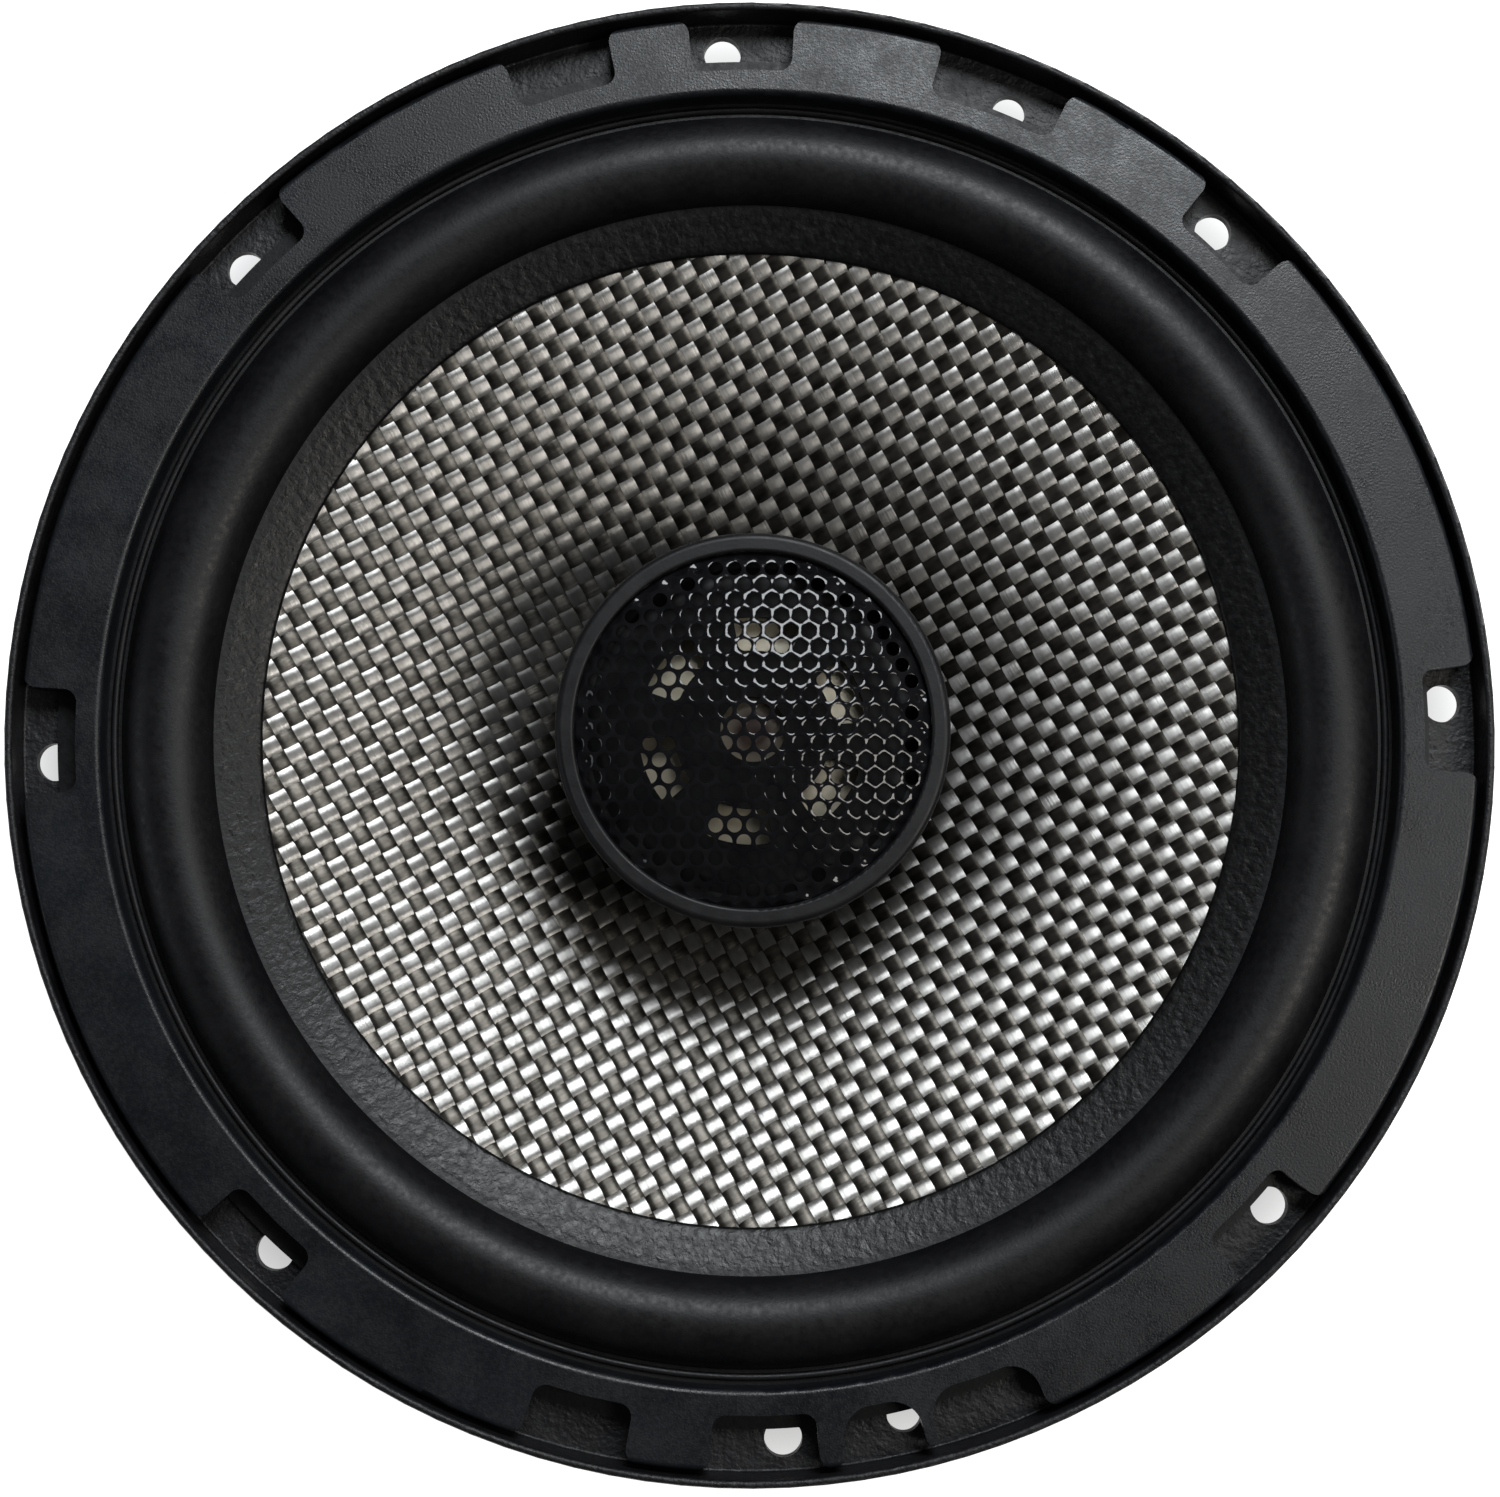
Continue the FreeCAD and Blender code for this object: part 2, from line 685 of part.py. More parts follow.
def make_terminal_board():
    """Insulating board on the basket's shelf."""
    board = block(-BOARD_HALF_WIDTH, BOARD_HALF_WIDTH, BOARD_OUTER_Y, BOARD_INNER_Y, LEDGE_Z, LEDGE_Z + BOARD)
    upright = [edge for edge in board.Edges if edge.BoundBox.ZLength > BOARD / 2]
    return board.makeFillet(BOARD_ROUND, upright).cut(board_rivet_shanks() + lug_rivet_shanks())


def make_terminal_lug(x, width):
    """Lug riveted to the board, with a push-on tab bent down past the board's edge."""
    low = LEDGE_Z + BOARD
    top = low + LUG
    outer = TAB_FACE_Y - LUG
    foot = block(x - width / 2, x + width / 2, outer, LUG_FOOT_Y, low, top)
    tab = block(x - width / 2, x + width / 2, outer, outer + LUG, TAB_BOTTOM, low)
    lug = foot.fuse(tab).removeSplitter()
    bend = [edge for edge in lug.Edges if edge.BoundBox.XLength > width / 2
            and abs(edge.CenterOfMass.y - outer) < 0.01 and abs(edge.CenterOfMass.z - top) < 0.01]
    lug = lug.makeFillet(LUG * 0.9, bend)
    tip = [edge for edge in lug.Edges if edge.BoundBox.YLength > LUG / 2
           and edge.BoundBox.XLength < 0.01 and abs(edge.CenterOfMass.z - TAB_BOTTOM) < 0.01]
    lug = lug.makeFillet(1.0, tip)
    hole = along_y(TAB_HOLE_R, outer - 1, TAB_FACE_Y + 1, x, TAB_HOLE_Z)
    return lug.cut([hole] + lug_rivet_shanks())


def lug_rivet_shanks():
    """Shanks of the two rivets that hold the lugs."""
    low = LEDGE_Z
    top = LEDGE_Z + BOARD + LUG
    return [pin(LUG_RIVET_R, low, top, x, LUG_RIVET_Y) for x in (-TERMINAL_X, TERMINAL_X)]


def board_rivet_shanks():
    """Shanks of the two rivets that hold the board to the shelf."""
    low = LEDGE_Z - STEEL
    top = LEDGE_Z + BOARD
    return [pin(BOARD_RIVET_R, low, top, x, BOARD_RIVET_Y) for x in (-BOARD_RIVET_X, BOARD_RIVET_X)]


def headed(shank):
    """A rivet: the shank with a thin head on both ends."""
    box = shank.BoundBox
    upper = pin(RIVET_CAP_R, box.ZMax, box.ZMax + RIVET_CAP, box.Center.x, box.Center.y)
    lower = pin(RIVET_CAP_R, box.ZMin - RIVET_CAP, box.ZMin, box.Center.x, box.Center.y)
    return shank.fuse([upper, lower]).removeSplitter()


def make_terminal_rivets():
    """Two rivets through the lugs and the board."""
    return Part.makeCompound([headed(shank) for shank in lug_rivet_shanks()])


def make_board_rivets():
    """Two rivets through the board and the shelf."""
    return Part.makeCompound([headed(shank) for shank in board_rivet_shanks()])


def lead_joint_bottom():
    """Height of the lower face of the joints behind the cone."""
    return cone_front_height(math.hypot(TERMINAL_X, LEAD_JOINT_Y)) - LEAD_JOINT_DROP


def make_lead_joints(cone):
    """Two glued joints behind the cone, where the tinsel leads meet the voice coil's wires."""
    joints = []
    for x in (-TERMINAL_X, TERMINAL_X):
        bottom = lead_joint_bottom()
        through = pin(LEAD_JOINT_R, bottom, bottom + 5, x, LEAD_JOINT_Y)
        joints.append(min(through.cut(cone).Solids, key=lambda solid: solid.CenterOfMass.z))
    return Part.makeCompound(joints)


def make_coil_lead(side):
    """Fine wire behind the cone, from a joint down to the former."""
    upper = FreeCAD.Vector(side * TERMINAL_X, LEAD_JOINT_Y + 0.7, lead_joint_bottom() - COIL_WIRE_R)
    x, y, z = COIL_WIRE_END
    lower = FreeCAD.Vector(side * x, y, z)
    return wire_lead([(upper, 0), (lower, 0)], COIL_WIRE_R)


def make_tinsel_lead(x):
    """Flexible lead with a slack bow, from a joint behind the cone to a terminal lug."""
    joint_y = LEAD_JOINT_Y - 0.4
    points = [
        (FreeCAD.Vector(x, joint_y, lead_joint_bottom()), 0),
        (FreeCAD.Vector(x, joint_y, TINSEL_LOW_Z), 1.8),
        (FreeCAD.Vector(x, joint_y - 10, TINSEL_LOW_Z), 6.0),
        (FreeCAD.Vector(x, TINSEL_END_Y + 4.2, TINSEL_HIGH_Z), 4.0),
        (FreeCAD.Vector(x, TINSEL_END_Y, TINSEL_TURN_Z), 2.0),
        (FreeCAD.Vector(x, TINSEL_END_Y, LEDGE_Z + BOARD + LUG), 0),
    ]
    return wire_lead(points, TINSEL_R)


def make_tweeter_lead_negative():
    """Insulated lead from the tweeter through the post, out at the back and up to its lug."""
    points = [
        (FreeCAD.Vector(-LEAD_START_X, 0, SEAT_Z), 0),
        (FreeCAD.Vector(-LEAD_START_X, 0, LEAD_TURN_Z), 1.0),
        (FreeCAD.Vector(-LEAD_X, 0, LEAD_TURN_Z), 1.0),
        (FreeCAD.Vector(-LEAD_X, 0, GROOVE_Z), 1.6),
        (FreeCAD.Vector(-LEAD_X, LEAD_SIDE_Y, GROOVE_Z), 2.0),
        (FreeCAD.Vector(-LEAD_X, LEAD_SIDE_Y, -34.0), 3.0),
        (FreeCAD.Vector(-TERMINAL_X, -54.0, LEAD_TAB_Z), 3.0),
        (FreeCAD.Vector(-TERMINAL_X, TAB_FACE_Y, LEAD_TAB_Z), 0),
    ]
    return wire_lead(points, LEAD_R)


def make_tweeter_lead_positive():
    """Insulated lead from the tweeter through the post, out at the back and up to the capacitor."""
    points = [
        (FreeCAD.Vector(LEAD_START_X, 0, SEAT_Z), 0),
        (FreeCAD.Vector(LEAD_START_X, 0, LEAD_TURN_Z), 1.0),
        (FreeCAD.Vector(LEAD_X, 0, LEAD_TURN_Z), 1.0),
        (FreeCAD.Vector(LEAD_X, 0, GROOVE_Z), 1.6),
        (FreeCAD.Vector(LEAD_X, LEAD_SIDE_Y, GROOVE_Z), 2.0),
        (FreeCAD.Vector(LEAD_X, LEAD_SIDE_Y, -42.0), 2.0),
        (FreeCAD.Vector(TERMINAL_X, LEAD_SIDE_Y - 0.6, -37.0), 2.0),
        (FreeCAD.Vector(TERMINAL_X, LEAD_SIDE_Y - 0.6, CAPACITOR_Z - 0.6), 0),
    ]
    return wire_lead(points, LEAD_R)


def make_crossover_capacitor():
    """Sleeved capacitor with a rolled end and a stiff wire at each end."""
    inner_y, outer_y = CAPACITOR_Y
    body = along_y(CAPACITOR_R, inner_y, outer_y, TERMINAL_X, CAPACITOR_Z)
    ends = [edge for edge in body.Edges if edge.Curve.TypeId == "Part::GeomCircle"]
    body = body.makeFillet(0.6, ends)
    crimp = ring(CAPACITOR_R - 0.45, CAPACITOR_R + 1, 0, 1.2, 0.4)
    crimp.rotate(FreeCAD.Vector(0, 0, 0), FreeCAD.Vector(1, 0, 0), 90)
    crimp.translate(FreeCAD.Vector(TERMINAL_X, inner_y - 1.2, CAPACITOR_Z))
    inner_wire = along_y(CAPACITOR_WIRE_R, LEAD_SIDE_Y + 0.4, inner_y - 1, TERMINAL_X, CAPACITOR_Z)
    outer_wire = along_y(CAPACITOR_WIRE_R, outer_y + 1, TAB_FACE_Y, TERMINAL_X, CAPACITOR_Z)
    return body.cut(crimp).fuse([inner_wire, outer_wire]).removeSplitter()


def make_capacitor_adhesive(neighbours):
    """Bead of glue between the capacitor and the shelf."""
    left = TERMINAL_X - ADHESIVE_HALF_WIDTH
    right = TERMINAL_X + ADHESIVE_HALF_WIDTH
    bottom = CAPACITOR_Z + ADHESIVE_HALF_WIDTH
    bead = block(left, right, ADHESIVE_Y[0], ADHESIVE_Y[1], bottom, LEDGE_Z - STEEL)
    sides = [edge for edge in bead.Edges if edge.BoundBox.ZLength > 1]
    return bead.makeFillet(1.5, sides).cut(neighbours)


def make_solder_joints(neighbours):
    """Solder at the two lug feet, the two tabs and the capacitor's inner wire."""
    foot_z = LEDGE_Z + BOARD + LUG
    splice_y = LEAD_SIDE_Y - 0.6
    beads = [
        pin(SOLDER_R, foot_z, foot_z + SOLDER, -TERMINAL_X, TINSEL_END_Y),
        pin(SOLDER_R, foot_z, foot_z + SOLDER, TERMINAL_X, TINSEL_END_Y),
        along_y(SOLDER_R, TAB_FACE_Y, TAB_FACE_Y + SOLDER, -TERMINAL_X, LEAD_TAB_Z),
        along_y(1.0, TAB_FACE_Y, TAB_FACE_Y + SOLDER, TERMINAL_X, CAPACITOR_Z),
        pin(SOLDER_R, CAPACITOR_Z - 1.1, CAPACITOR_Z + SOLDER, TERMINAL_X, splice_y),
    ]
    return Part.makeCompound([bead.cut(neighbours) for bead in beads])


def housing_pads():
    """Sectors that lift the yoke off the housing's floor and take the screws."""
    inner, outer = PAD_R
    low = TWEETER_FLOOR + 1
    pad = turned(outline(
        (inner, low), (outer, low), (outer, YOKE_BOTTOM), (inner, YOKE_BOTTOM),
    ), PAD_SPAN, -PAD_SPAN / 2)
    return spread(pad, MOUNT_SCREWS, FIRST_MOUNT_SCREW)


def make_tweeter_housing():
    """Plastic cup that holds the tweeter's motor."""
    cup = turned(outline(
        (STEM_BORE_R, TWEETER_FLOOR),
        (SEAT_R + TWEETER_WALL, TWEETER_FLOOR, 2.0),
        (SEAT_R + TWEETER_WALL, HOUSING_NECK_Z, 1.5),
        (TWEETER_R, HOUSING_SHOULDER_Z, 1.5),
        (TWEETER_R, HOUSING_TOP),
        (TWEETER_R - TWEETER_WALL, HOUSING_TOP),
        (TWEETER_R - TWEETER_WALL, SEAT_Z),
        (SEAT_R, SEAT_Z),
        (SEAT_R, TWEETER_FLOOR + TWEETER_WALL),
        (STEM_BORE_R, TWEETER_FLOOR + TWEETER_WALL),
    ))
    return cup.fuse(housing_pads()).cut(mount_screw_shanks()).removeSplitter()


def mount_screw_shanks():
    """Shanks of the screws that join the post's flange to the housing."""
    shank = pin(MOUNT_SCREW_R, TWEETER_FLOOR - POST_FLANGE, YOKE_BOTTOM - 0.7, MOUNT_SCREW_CIRCLE_R, 0)
    return spread(shank, MOUNT_SCREWS, FIRST_MOUNT_SCREW)


def make_tweeter_mount_screws():
    """Pan head screws with a cross recess, up through the post's flange."""
    seat = TWEETER_FLOOR - POST_FLANGE
    low = seat - MOUNT_SCREW_HEAD
    outer = MOUNT_SCREW_HEAD_R
    long = RECESS_HALF_LENGTH
    thin = RECESS_HALF_WIDTH
    head = turned(outline((0, low), (outer, low, 0.6), (outer, seat), (0, seat)))
    recess_one = block(-long, long, -thin, thin, low - 0.1, low + RECESS)
    recess_two = block(-thin, thin, -long, long, low - 0.1, low + RECESS)
    head = head.cut([recess_one, recess_two])
    head.translate(FreeCAD.Vector(MOUNT_SCREW_CIRCLE_R, 0, 0))
    screws = []
    for shank, cap in zip(mount_screw_shanks(), spread(head, MOUNT_SCREWS, FIRST_MOUNT_SCREW)):
        screws.append(shank.fuse(cap).removeSplitter())
    return Part.makeCompound(screws)


def make_tweeter_yoke():
    """Steel cup around the tweeter's magnet."""
    return turned(outline(
        (0, YOKE_BOTTOM), (YOKE_R, YOKE_BOTTOM, 0.8), (YOKE_R, SEAT_Z),
        (YOKE_BORE_R, SEAT_Z), (YOKE_BORE_R, YOKE_BOTTOM + YOKE_FLOOR), (0, YOKE_BOTTOM + YOKE_FLOOR),
    ))


def make_tweeter_magnet():
    """Neodymium disc."""
    bottom = YOKE_BOTTOM + YOKE_FLOOR
    top = SEAT_Z - TWEETER_PLATE
    return Part.makeCylinder(TWEETER_PLATE_R - 0.8, top - bottom, FreeCAD.Vector(0, 0, bottom))


def make_tweeter_top_plate():
    """Steel disc that closes the tweeter's gap."""
    bottom = SEAT_Z - TWEETER_PLATE
    return Part.makeCylinder(TWEETER_PLATE_R, TWEETER_PLATE, FreeCAD.Vector(0, 0, bottom))


def make_tweeter_former():
    """Tube that carries the tweeter's winding."""
    outer = TWEETER_FORMER_R + TWEETER_FORMER_WALL
    return ring(TWEETER_FORMER_R, outer, TWEETER_FORMER_BOTTOM, DOME_EDGE_Z - FILM)


def make_tweeter_winding():
    """Fine copper winding of the tweeter."""
    inner = TWEETER_FORMER_R + TWEETER_FORMER_WALL
    return ring(inner, inner + TWEETER_WINDING, TWEETER_WINDING_Z[0], TWEETER_WINDING_Z[1])


def make_tweeter_dome():
    """Thin dome with a flat edge on top of the former."""
    sphere = (DOME_R ** 2 + DOME_RISE ** 2) / (2 * DOME_RISE)
    centre = DOME_EDGE_Z + DOME_RISE - sphere
    low = DOME_EDGE_Z - FILM
    half = DOME_R / 2
    inner_sphere = sphere - FILM
    inner_edge_r = math.sqrt(inner_sphere ** 2 - (low - centre) ** 2)
    outer_start = at(DOME_R, DOME_EDGE_Z)
    outer_middle = at(half, centre + math.sqrt(sphere ** 2 - half ** 2))
    inner_start = at(inner_edge_r, low)
    inner_middle = at(half, centre + math.sqrt(inner_sphere ** 2 - half ** 2))
    return turned([
        Part.Arc(outer_start, outer_middle, at(0, centre + sphere)).toShape(),
        Part.LineSegment(at(0, centre + sphere), at(0, centre + inner_sphere)).toShape(),
        Part.Arc(inner_start, inner_middle, at(0, centre + inner_sphere)).toShape(),
        Part.LineSegment(inner_start, at(DOME_FLANGE_R, low)).toShape(),
        Part.LineSegment(at(DOME_FLANGE_R, low), at(DOME_FLANGE_R, DOME_EDGE_Z)).toShape(),
        Part.LineSegment(at(DOME_FLANGE_R, DOME_EDGE_Z), outer_start).toShape(),
    ])


def make_tweeter_surround():
    """Thin half roll around the dome, glued to the carrier ring."""
    low = DOME_EDGE_Z - FILM
    flange_low = SEAT_Z + CARRIER
    flange_top = flange_low + FILM
    inside_r = TWEETER_ROLL_OUTER_R - FILM
    edge_r = TWEETER_ROLL_FLANGE_R
    crest = at(TWEETER_ROLL_MIDDLE_R, DOME_EDGE_Z + TWEETER_ROLL_RISE)
    crest_below = at(TWEETER_ROLL_MIDDLE_R - 0.1, DOME_EDGE_Z + TWEETER_ROLL_RISE - FILM)
    outer_foot = at(TWEETER_ROLL_OUTER_R, flange_top)
    edges = [
        Part.LineSegment(at(DOME_FLANGE_R, low), at(DOME_FLANGE_R, DOME_EDGE_Z)).toShape(),
        Part.Arc(at(DOME_FLANGE_R, DOME_EDGE_Z), crest, outer_foot).toShape(),
        Part.LineSegment(outer_foot, at(edge_r, flange_top)).toShape(),
        Part.LineSegment(at(edge_r, flange_top), at(edge_r, flange_low)).toShape(),
        Part.LineSegment(at(edge_r, flange_low), at(inside_r, flange_low)).toShape(),
        Part.Arc(at(inside_r, flange_low), crest_below, at(DOME_FLANGE_R, low)).toShape(),
    ]
    return turned(edges)


def make_tweeter_carrier_ring():
    """Flat ring that the tweeter's roll is glued to."""
    return ring(CARRIER_INNER_R, GRILLE_R, SEAT_Z, SEAT_Z + CARRIER)


def make_tweeter_phase_guard():
    """Rim and open-centred shield over the dome, with six curved windows."""
    rim = ring(GUARD_RIM_R, GRILLE_R, SEAT_Z + CARRIER, GRILLE_FOOT_Z, 0.2)
    upper_face = [(radius, height + GUARD_WALL) for radius, height in GUARD_FACE]
    shield = turned(outline(*GUARD_FACE, *reversed(upper_face)))
    inner, outer = GUARD_WINDOW_R
    window = turned(outline(
        (inner, SEAT_Z), (outer, SEAT_Z), (outer, TRIM_TOP), (inner, TRIM_TOP),
    ), GUARD_WINDOW_SPAN, -GUARD_WINDOW_SPAN / 2)
    upright = [edge for edge in window.Edges if edge.BoundBox.ZLength > GUARD_WALL]
    window = window.makeFillet(0.8, upright)
    return rim.fuse(shield).cut(spread(window, GUARD_WINDOWS, FIRST_GUARD_WINDOW)).removeSplitter()


def grille_shell():
    """Domed sheet with a skirt, before it is perforated."""
    outer_r = (GRILLE_R ** 2 + GRILLE_RISE ** 2) / (2 * GRILLE_RISE)
    centre_z = GRILLE_EDGE_Z + GRILLE_RISE - outer_r
    inner_r = outer_r - GRILLE_SHEET
    skirt_r = GRILLE_R - GRILLE_SHEET
    skirt_top = centre_z + math.sqrt(inner_r ** 2 - skirt_r ** 2)
    half = GRILLE_R / 2
    outer_arc = Part.Arc(
        at(0, centre_z + outer_r), at(half, centre_z + math.sqrt(outer_r ** 2 - half ** 2)),
        at(GRILLE_R, GRILLE_EDGE_Z))
    inner_arc = Part.Arc(
        at(skirt_r, skirt_top), at(half, centre_z + math.sqrt(inner_r ** 2 - half ** 2)),
        at(0, centre_z + inner_r))
    foot = GRILLE_FOOT_Z
    return turned([
        outer_arc.toShape(),
        Part.LineSegment(at(GRILLE_R, GRILLE_EDGE_Z), at(GRILLE_R, foot)).toShape(),
        Part.LineSegment(at(GRILLE_R, foot), at(skirt_r, foot)).toShape(),
        Part.LineSegment(at(skirt_r, foot), at(skirt_r, skirt_top)).toShape(),
        inner_arc.toShape(),
        Part.LineSegment(at(0, centre_z + inner_r), at(0, centre_z + outer_r)).toShape(),
    ])


def grille_holes():
    """Round holes in a honeycomb pattern, all punched straight down."""
    row_height = GRILLE_PITCH * math.sqrt(3) / 2
    reach = int(GRILLE_R / row_height) + 1
    holes = []
    for row in range(-reach, reach + 1):
        for column in range(-reach, reach + 1):
            x = (column + 0.5 * (row % 2)) * GRILLE_PITCH
            y = row * row_height
            if math.hypot(x, y) < GRILLE_R - GRILLE_PLAIN_EDGE - GRILLE_HOLE_R:
                holes.append(pin(GRILLE_HOLE_R, GRILLE_EDGE_Z - 1, GRILLE_EDGE_Z + GRILLE_RISE + 1, x, y))
    return holes


def make_tweeter_grille():
    """Perforated domed steel sheet."""
    return grille_shell().cut(grille_holes())


def make_tweeter_trim_ring():
    """Rounded ring around the grille, with a lip over the grille's edge."""
    inner = GRILLE_R + TRIM_GAP
    return turned(outline(
        (inner, HOUSING_TOP), (TWEETER_R, HOUSING_TOP), (TWEETER_R, TRIM_TOP, 0.75),
        (TRIM_LIP_R, TRIM_TOP, 0.4), (TRIM_LIP_R, TRIM_LIP_Z), (inner, TRIM_LIP_Z),
    ))


def make_parts():
    """Every separate piece, by the name of its file."""
    cone = make_cone()
    capacitor = make_crossover_capacitor()
    tinsel_positive = make_tinsel_lead(TERMINAL_X)
    tinsel_negative = make_tinsel_lead(-TERMINAL_X)
    lead_positive = make_tweeter_lead_positive()
    lead_negative = make_tweeter_lead_negative()
    lug_positive = make_terminal_lug(TERMINAL_X, WIDE_TAB)
    lug_negative = make_terminal_lug(-TERMINAL_X, NARROW_TAB)
    lug_rivets = make_terminal_rivets()
    board_rivets = make_board_rivets()
    soldered = [capacitor, tinsel_positive, tinsel_negative, lead_positive, lead_negative,
                lug_positive, lug_negative, lug_rivets]
    return {
        "basket": make_basket(),
        "gasket_ring": make_gasket_ring(),
        "surround": make_surround(),
        "cone": cone,
        "dust_screen": make_dust_screen(),
        "voice_coil_former": make_former(),
        "voice_coil_winding": make_winding(),
        "lead_joints": make_lead_joints(cone),
        "coil_lead_positive": make_coil_lead(1),
        "coil_lead_negative": make_coil_lead(-1),
        "spider": make_spider(),
        "tinsel_lead_positive": tinsel_positive,
        "tinsel_lead_negative": tinsel_negative,
        "terminal_board": make_terminal_board(),
        "terminal_lug_positive": lug_positive,
        "terminal_lug_negative": lug_negative,
        "terminal_rivets": lug_rivets,
        "board_rivets": board_rivets,
        "top_plate": make_top_plate(),
        "ferrite_magnet": make_ferrite_magnet(),
        "back_plate_pole": make_back_plate_pole(),
        "basket_rivets": make_basket_rivets(),
        "tweeter_post": make_tweeter_post(),
        "post_nut": make_post_nut(),
        "tweeter_housing": make_tweeter_housing(),
        "tweeter_mount_screws": make_tweeter_mount_screws(),
        "tweeter_yoke": make_tweeter_yoke(),
        "tweeter_magnet": make_tweeter_magnet(),
        "tweeter_top_plate": make_tweeter_top_plate(),
        "tweeter_former": make_tweeter_former(),
        "tweeter_winding": make_tweeter_winding(),
        "tweeter_dome": make_tweeter_dome(),
        "tweeter_surround": make_tweeter_surround(),
        "tweeter_carrier_ring": make_tweeter_carrier_ring(),
        "tweeter_phase_guard": make_tweeter_phase_guard(),
        "tweeter_grille": make_tweeter_grille(),
        "tweeter_trim_ring": make_tweeter_trim_ring(),
        "tweeter_lead_positive": lead_positive,
        "tweeter_lead_negative": lead_negative,
        "crossover_capacitor": capacitor,
        "capacitor_adhesive": make_capacitor_adhesive([capacitor, board_rivets]),
        "solder_joints": make_solder_joints(soldered),
    }


os.makedirs("parts", exist_ok=True)
for name, shape in make_parts().items():
    if not shape.isValid():
        raise ValueError("the shape of " + name + " is not valid")
    shape.exportStep("parts/" + name + ".step")
    print(name, len(shape.Solids), round(shape.Volume, 1))
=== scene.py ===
"""Looks of the coaxial car speaker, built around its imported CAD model. +Z is the listening direction."""
import bpy
import json
import math
import numpy as np
from mathutils import Matrix, Vector


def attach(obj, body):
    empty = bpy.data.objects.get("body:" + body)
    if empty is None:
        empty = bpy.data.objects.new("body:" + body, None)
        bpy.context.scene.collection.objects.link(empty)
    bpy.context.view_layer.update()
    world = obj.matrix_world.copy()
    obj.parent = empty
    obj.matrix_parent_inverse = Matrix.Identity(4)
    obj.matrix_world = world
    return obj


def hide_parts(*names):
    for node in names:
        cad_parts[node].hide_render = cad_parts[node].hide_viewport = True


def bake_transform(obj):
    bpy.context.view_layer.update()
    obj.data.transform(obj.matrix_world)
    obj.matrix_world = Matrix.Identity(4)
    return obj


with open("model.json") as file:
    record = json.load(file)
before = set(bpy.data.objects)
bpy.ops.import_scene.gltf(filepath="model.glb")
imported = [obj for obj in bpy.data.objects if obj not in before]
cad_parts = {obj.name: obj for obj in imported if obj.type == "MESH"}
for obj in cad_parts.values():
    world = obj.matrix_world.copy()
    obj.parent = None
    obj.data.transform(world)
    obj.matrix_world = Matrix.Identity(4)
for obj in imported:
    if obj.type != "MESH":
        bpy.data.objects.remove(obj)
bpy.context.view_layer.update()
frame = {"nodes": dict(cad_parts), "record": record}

# Sizes below are in millimetres, except the lights'. MM turns them into the scene's metres.
MM = 0.001

# Woven cone
NECK_R = 13.6
NECK_Z = -20.0
NECK_SLOPE = 0.70
RIM_START_R = 54.5
RIM_START_Z = -1.0
RIM_SLOPE = 0.35
CONE_R = 60.2
COVERED_FROM_R = 55.2
YARN_PITCH = 1.93
YARN_LEAN = math.radians(-61)
YARN_WIDTH = 0.97
YARN_WAVE = 0.13
YARN_CROWN = 0.11
YARN_LIFT = 0.20
STEPS_ALONG = 8
STEPS_ACROSS = 4

# Front ring
RIM_CORE_R = 72.7
RIM_CORE_Z = 5.0

# Rubber roll
RUBBER_WALL = 0.75
FLANGE_Z = 1.5
FLANGE_TOP = 2.3
FLANGE_R = 76.85
FLANGE_SHIFT = -0.7
ROLL_INNER_R = 60.3
ROLL_OUTER_R = 70.4
ROLL_MIDDLE_R = 65.3
ROLL_TOP = 6.1

# Spider
SPIDER_WAVES = 5
SPIDER_WAVE = 1.1
SPIDER_WALL = 0.5
SPIDER_FROM_R = 16.0
SPIDER_TO_R = 41.0
SPIDER_R = 46.8
LEDGE_Z = -25.0
FORMER_R = 13.05

# Tinsel leads
TERMINAL_X = 7.0
TINSEL_ROUTE = (
    (-30.9, -12.5),
    (-30.9, -18.8),
    (-40.9, -18.8),
    (-55.1, -13.5),
    (-59.3, -16.0),
    (-59.3, -22.4),
)
STRAND_R = 0.3
STRAND_TURN = 3.2
STRAND_SIDES = 8

# Tweeter
GRILLE_PITCH = 2.06
GUARD_R = 16.4
DOME_ROLL_INNER_R = 13.1
DOME_ROLL_OUTER_R = 15.7
DOME_ROLL_FLANGE_R = 17.3
DOME_ROLL_WALL = 0.3

# Lights: name, place and size in metres, power in watts and colour
LIGHTS = (
    ("top_light", (0.13, 0.38, 0.56), (0.36, 0.28), 3.4, (0.93, 0.97, 1.0)),
    ("right_light", (0.43, -0.09, 0.55), (0.16, 0.34), 1.2, (1.0, 0.96, 0.90)),
    ("left_fill", (-0.66, -0.05, 0.26), (0.3, 0.2), 0.25, (0.92, 0.96, 1.0)),
)
SURROUND_LIGHT = 0.05

# Camera and floor
FLOOR_HALF = 900.0
FLOOR_Z = -61.3
# Painted shadow on the floor under the speaker: its outer radius and its centre
PAINTED_SHADOW_R = 102.0
PAINTED_SHADOW_CENTRE = (1.0, 4.6)
LIP_TOP = 6.3
VIEW_DISTANCE = 280.0
VIEW_LEAN = (-0.9, -4.2)
VIEW_AIM = (-0.33, -2.12)
HALF_VIEW = 82.61


# Materials

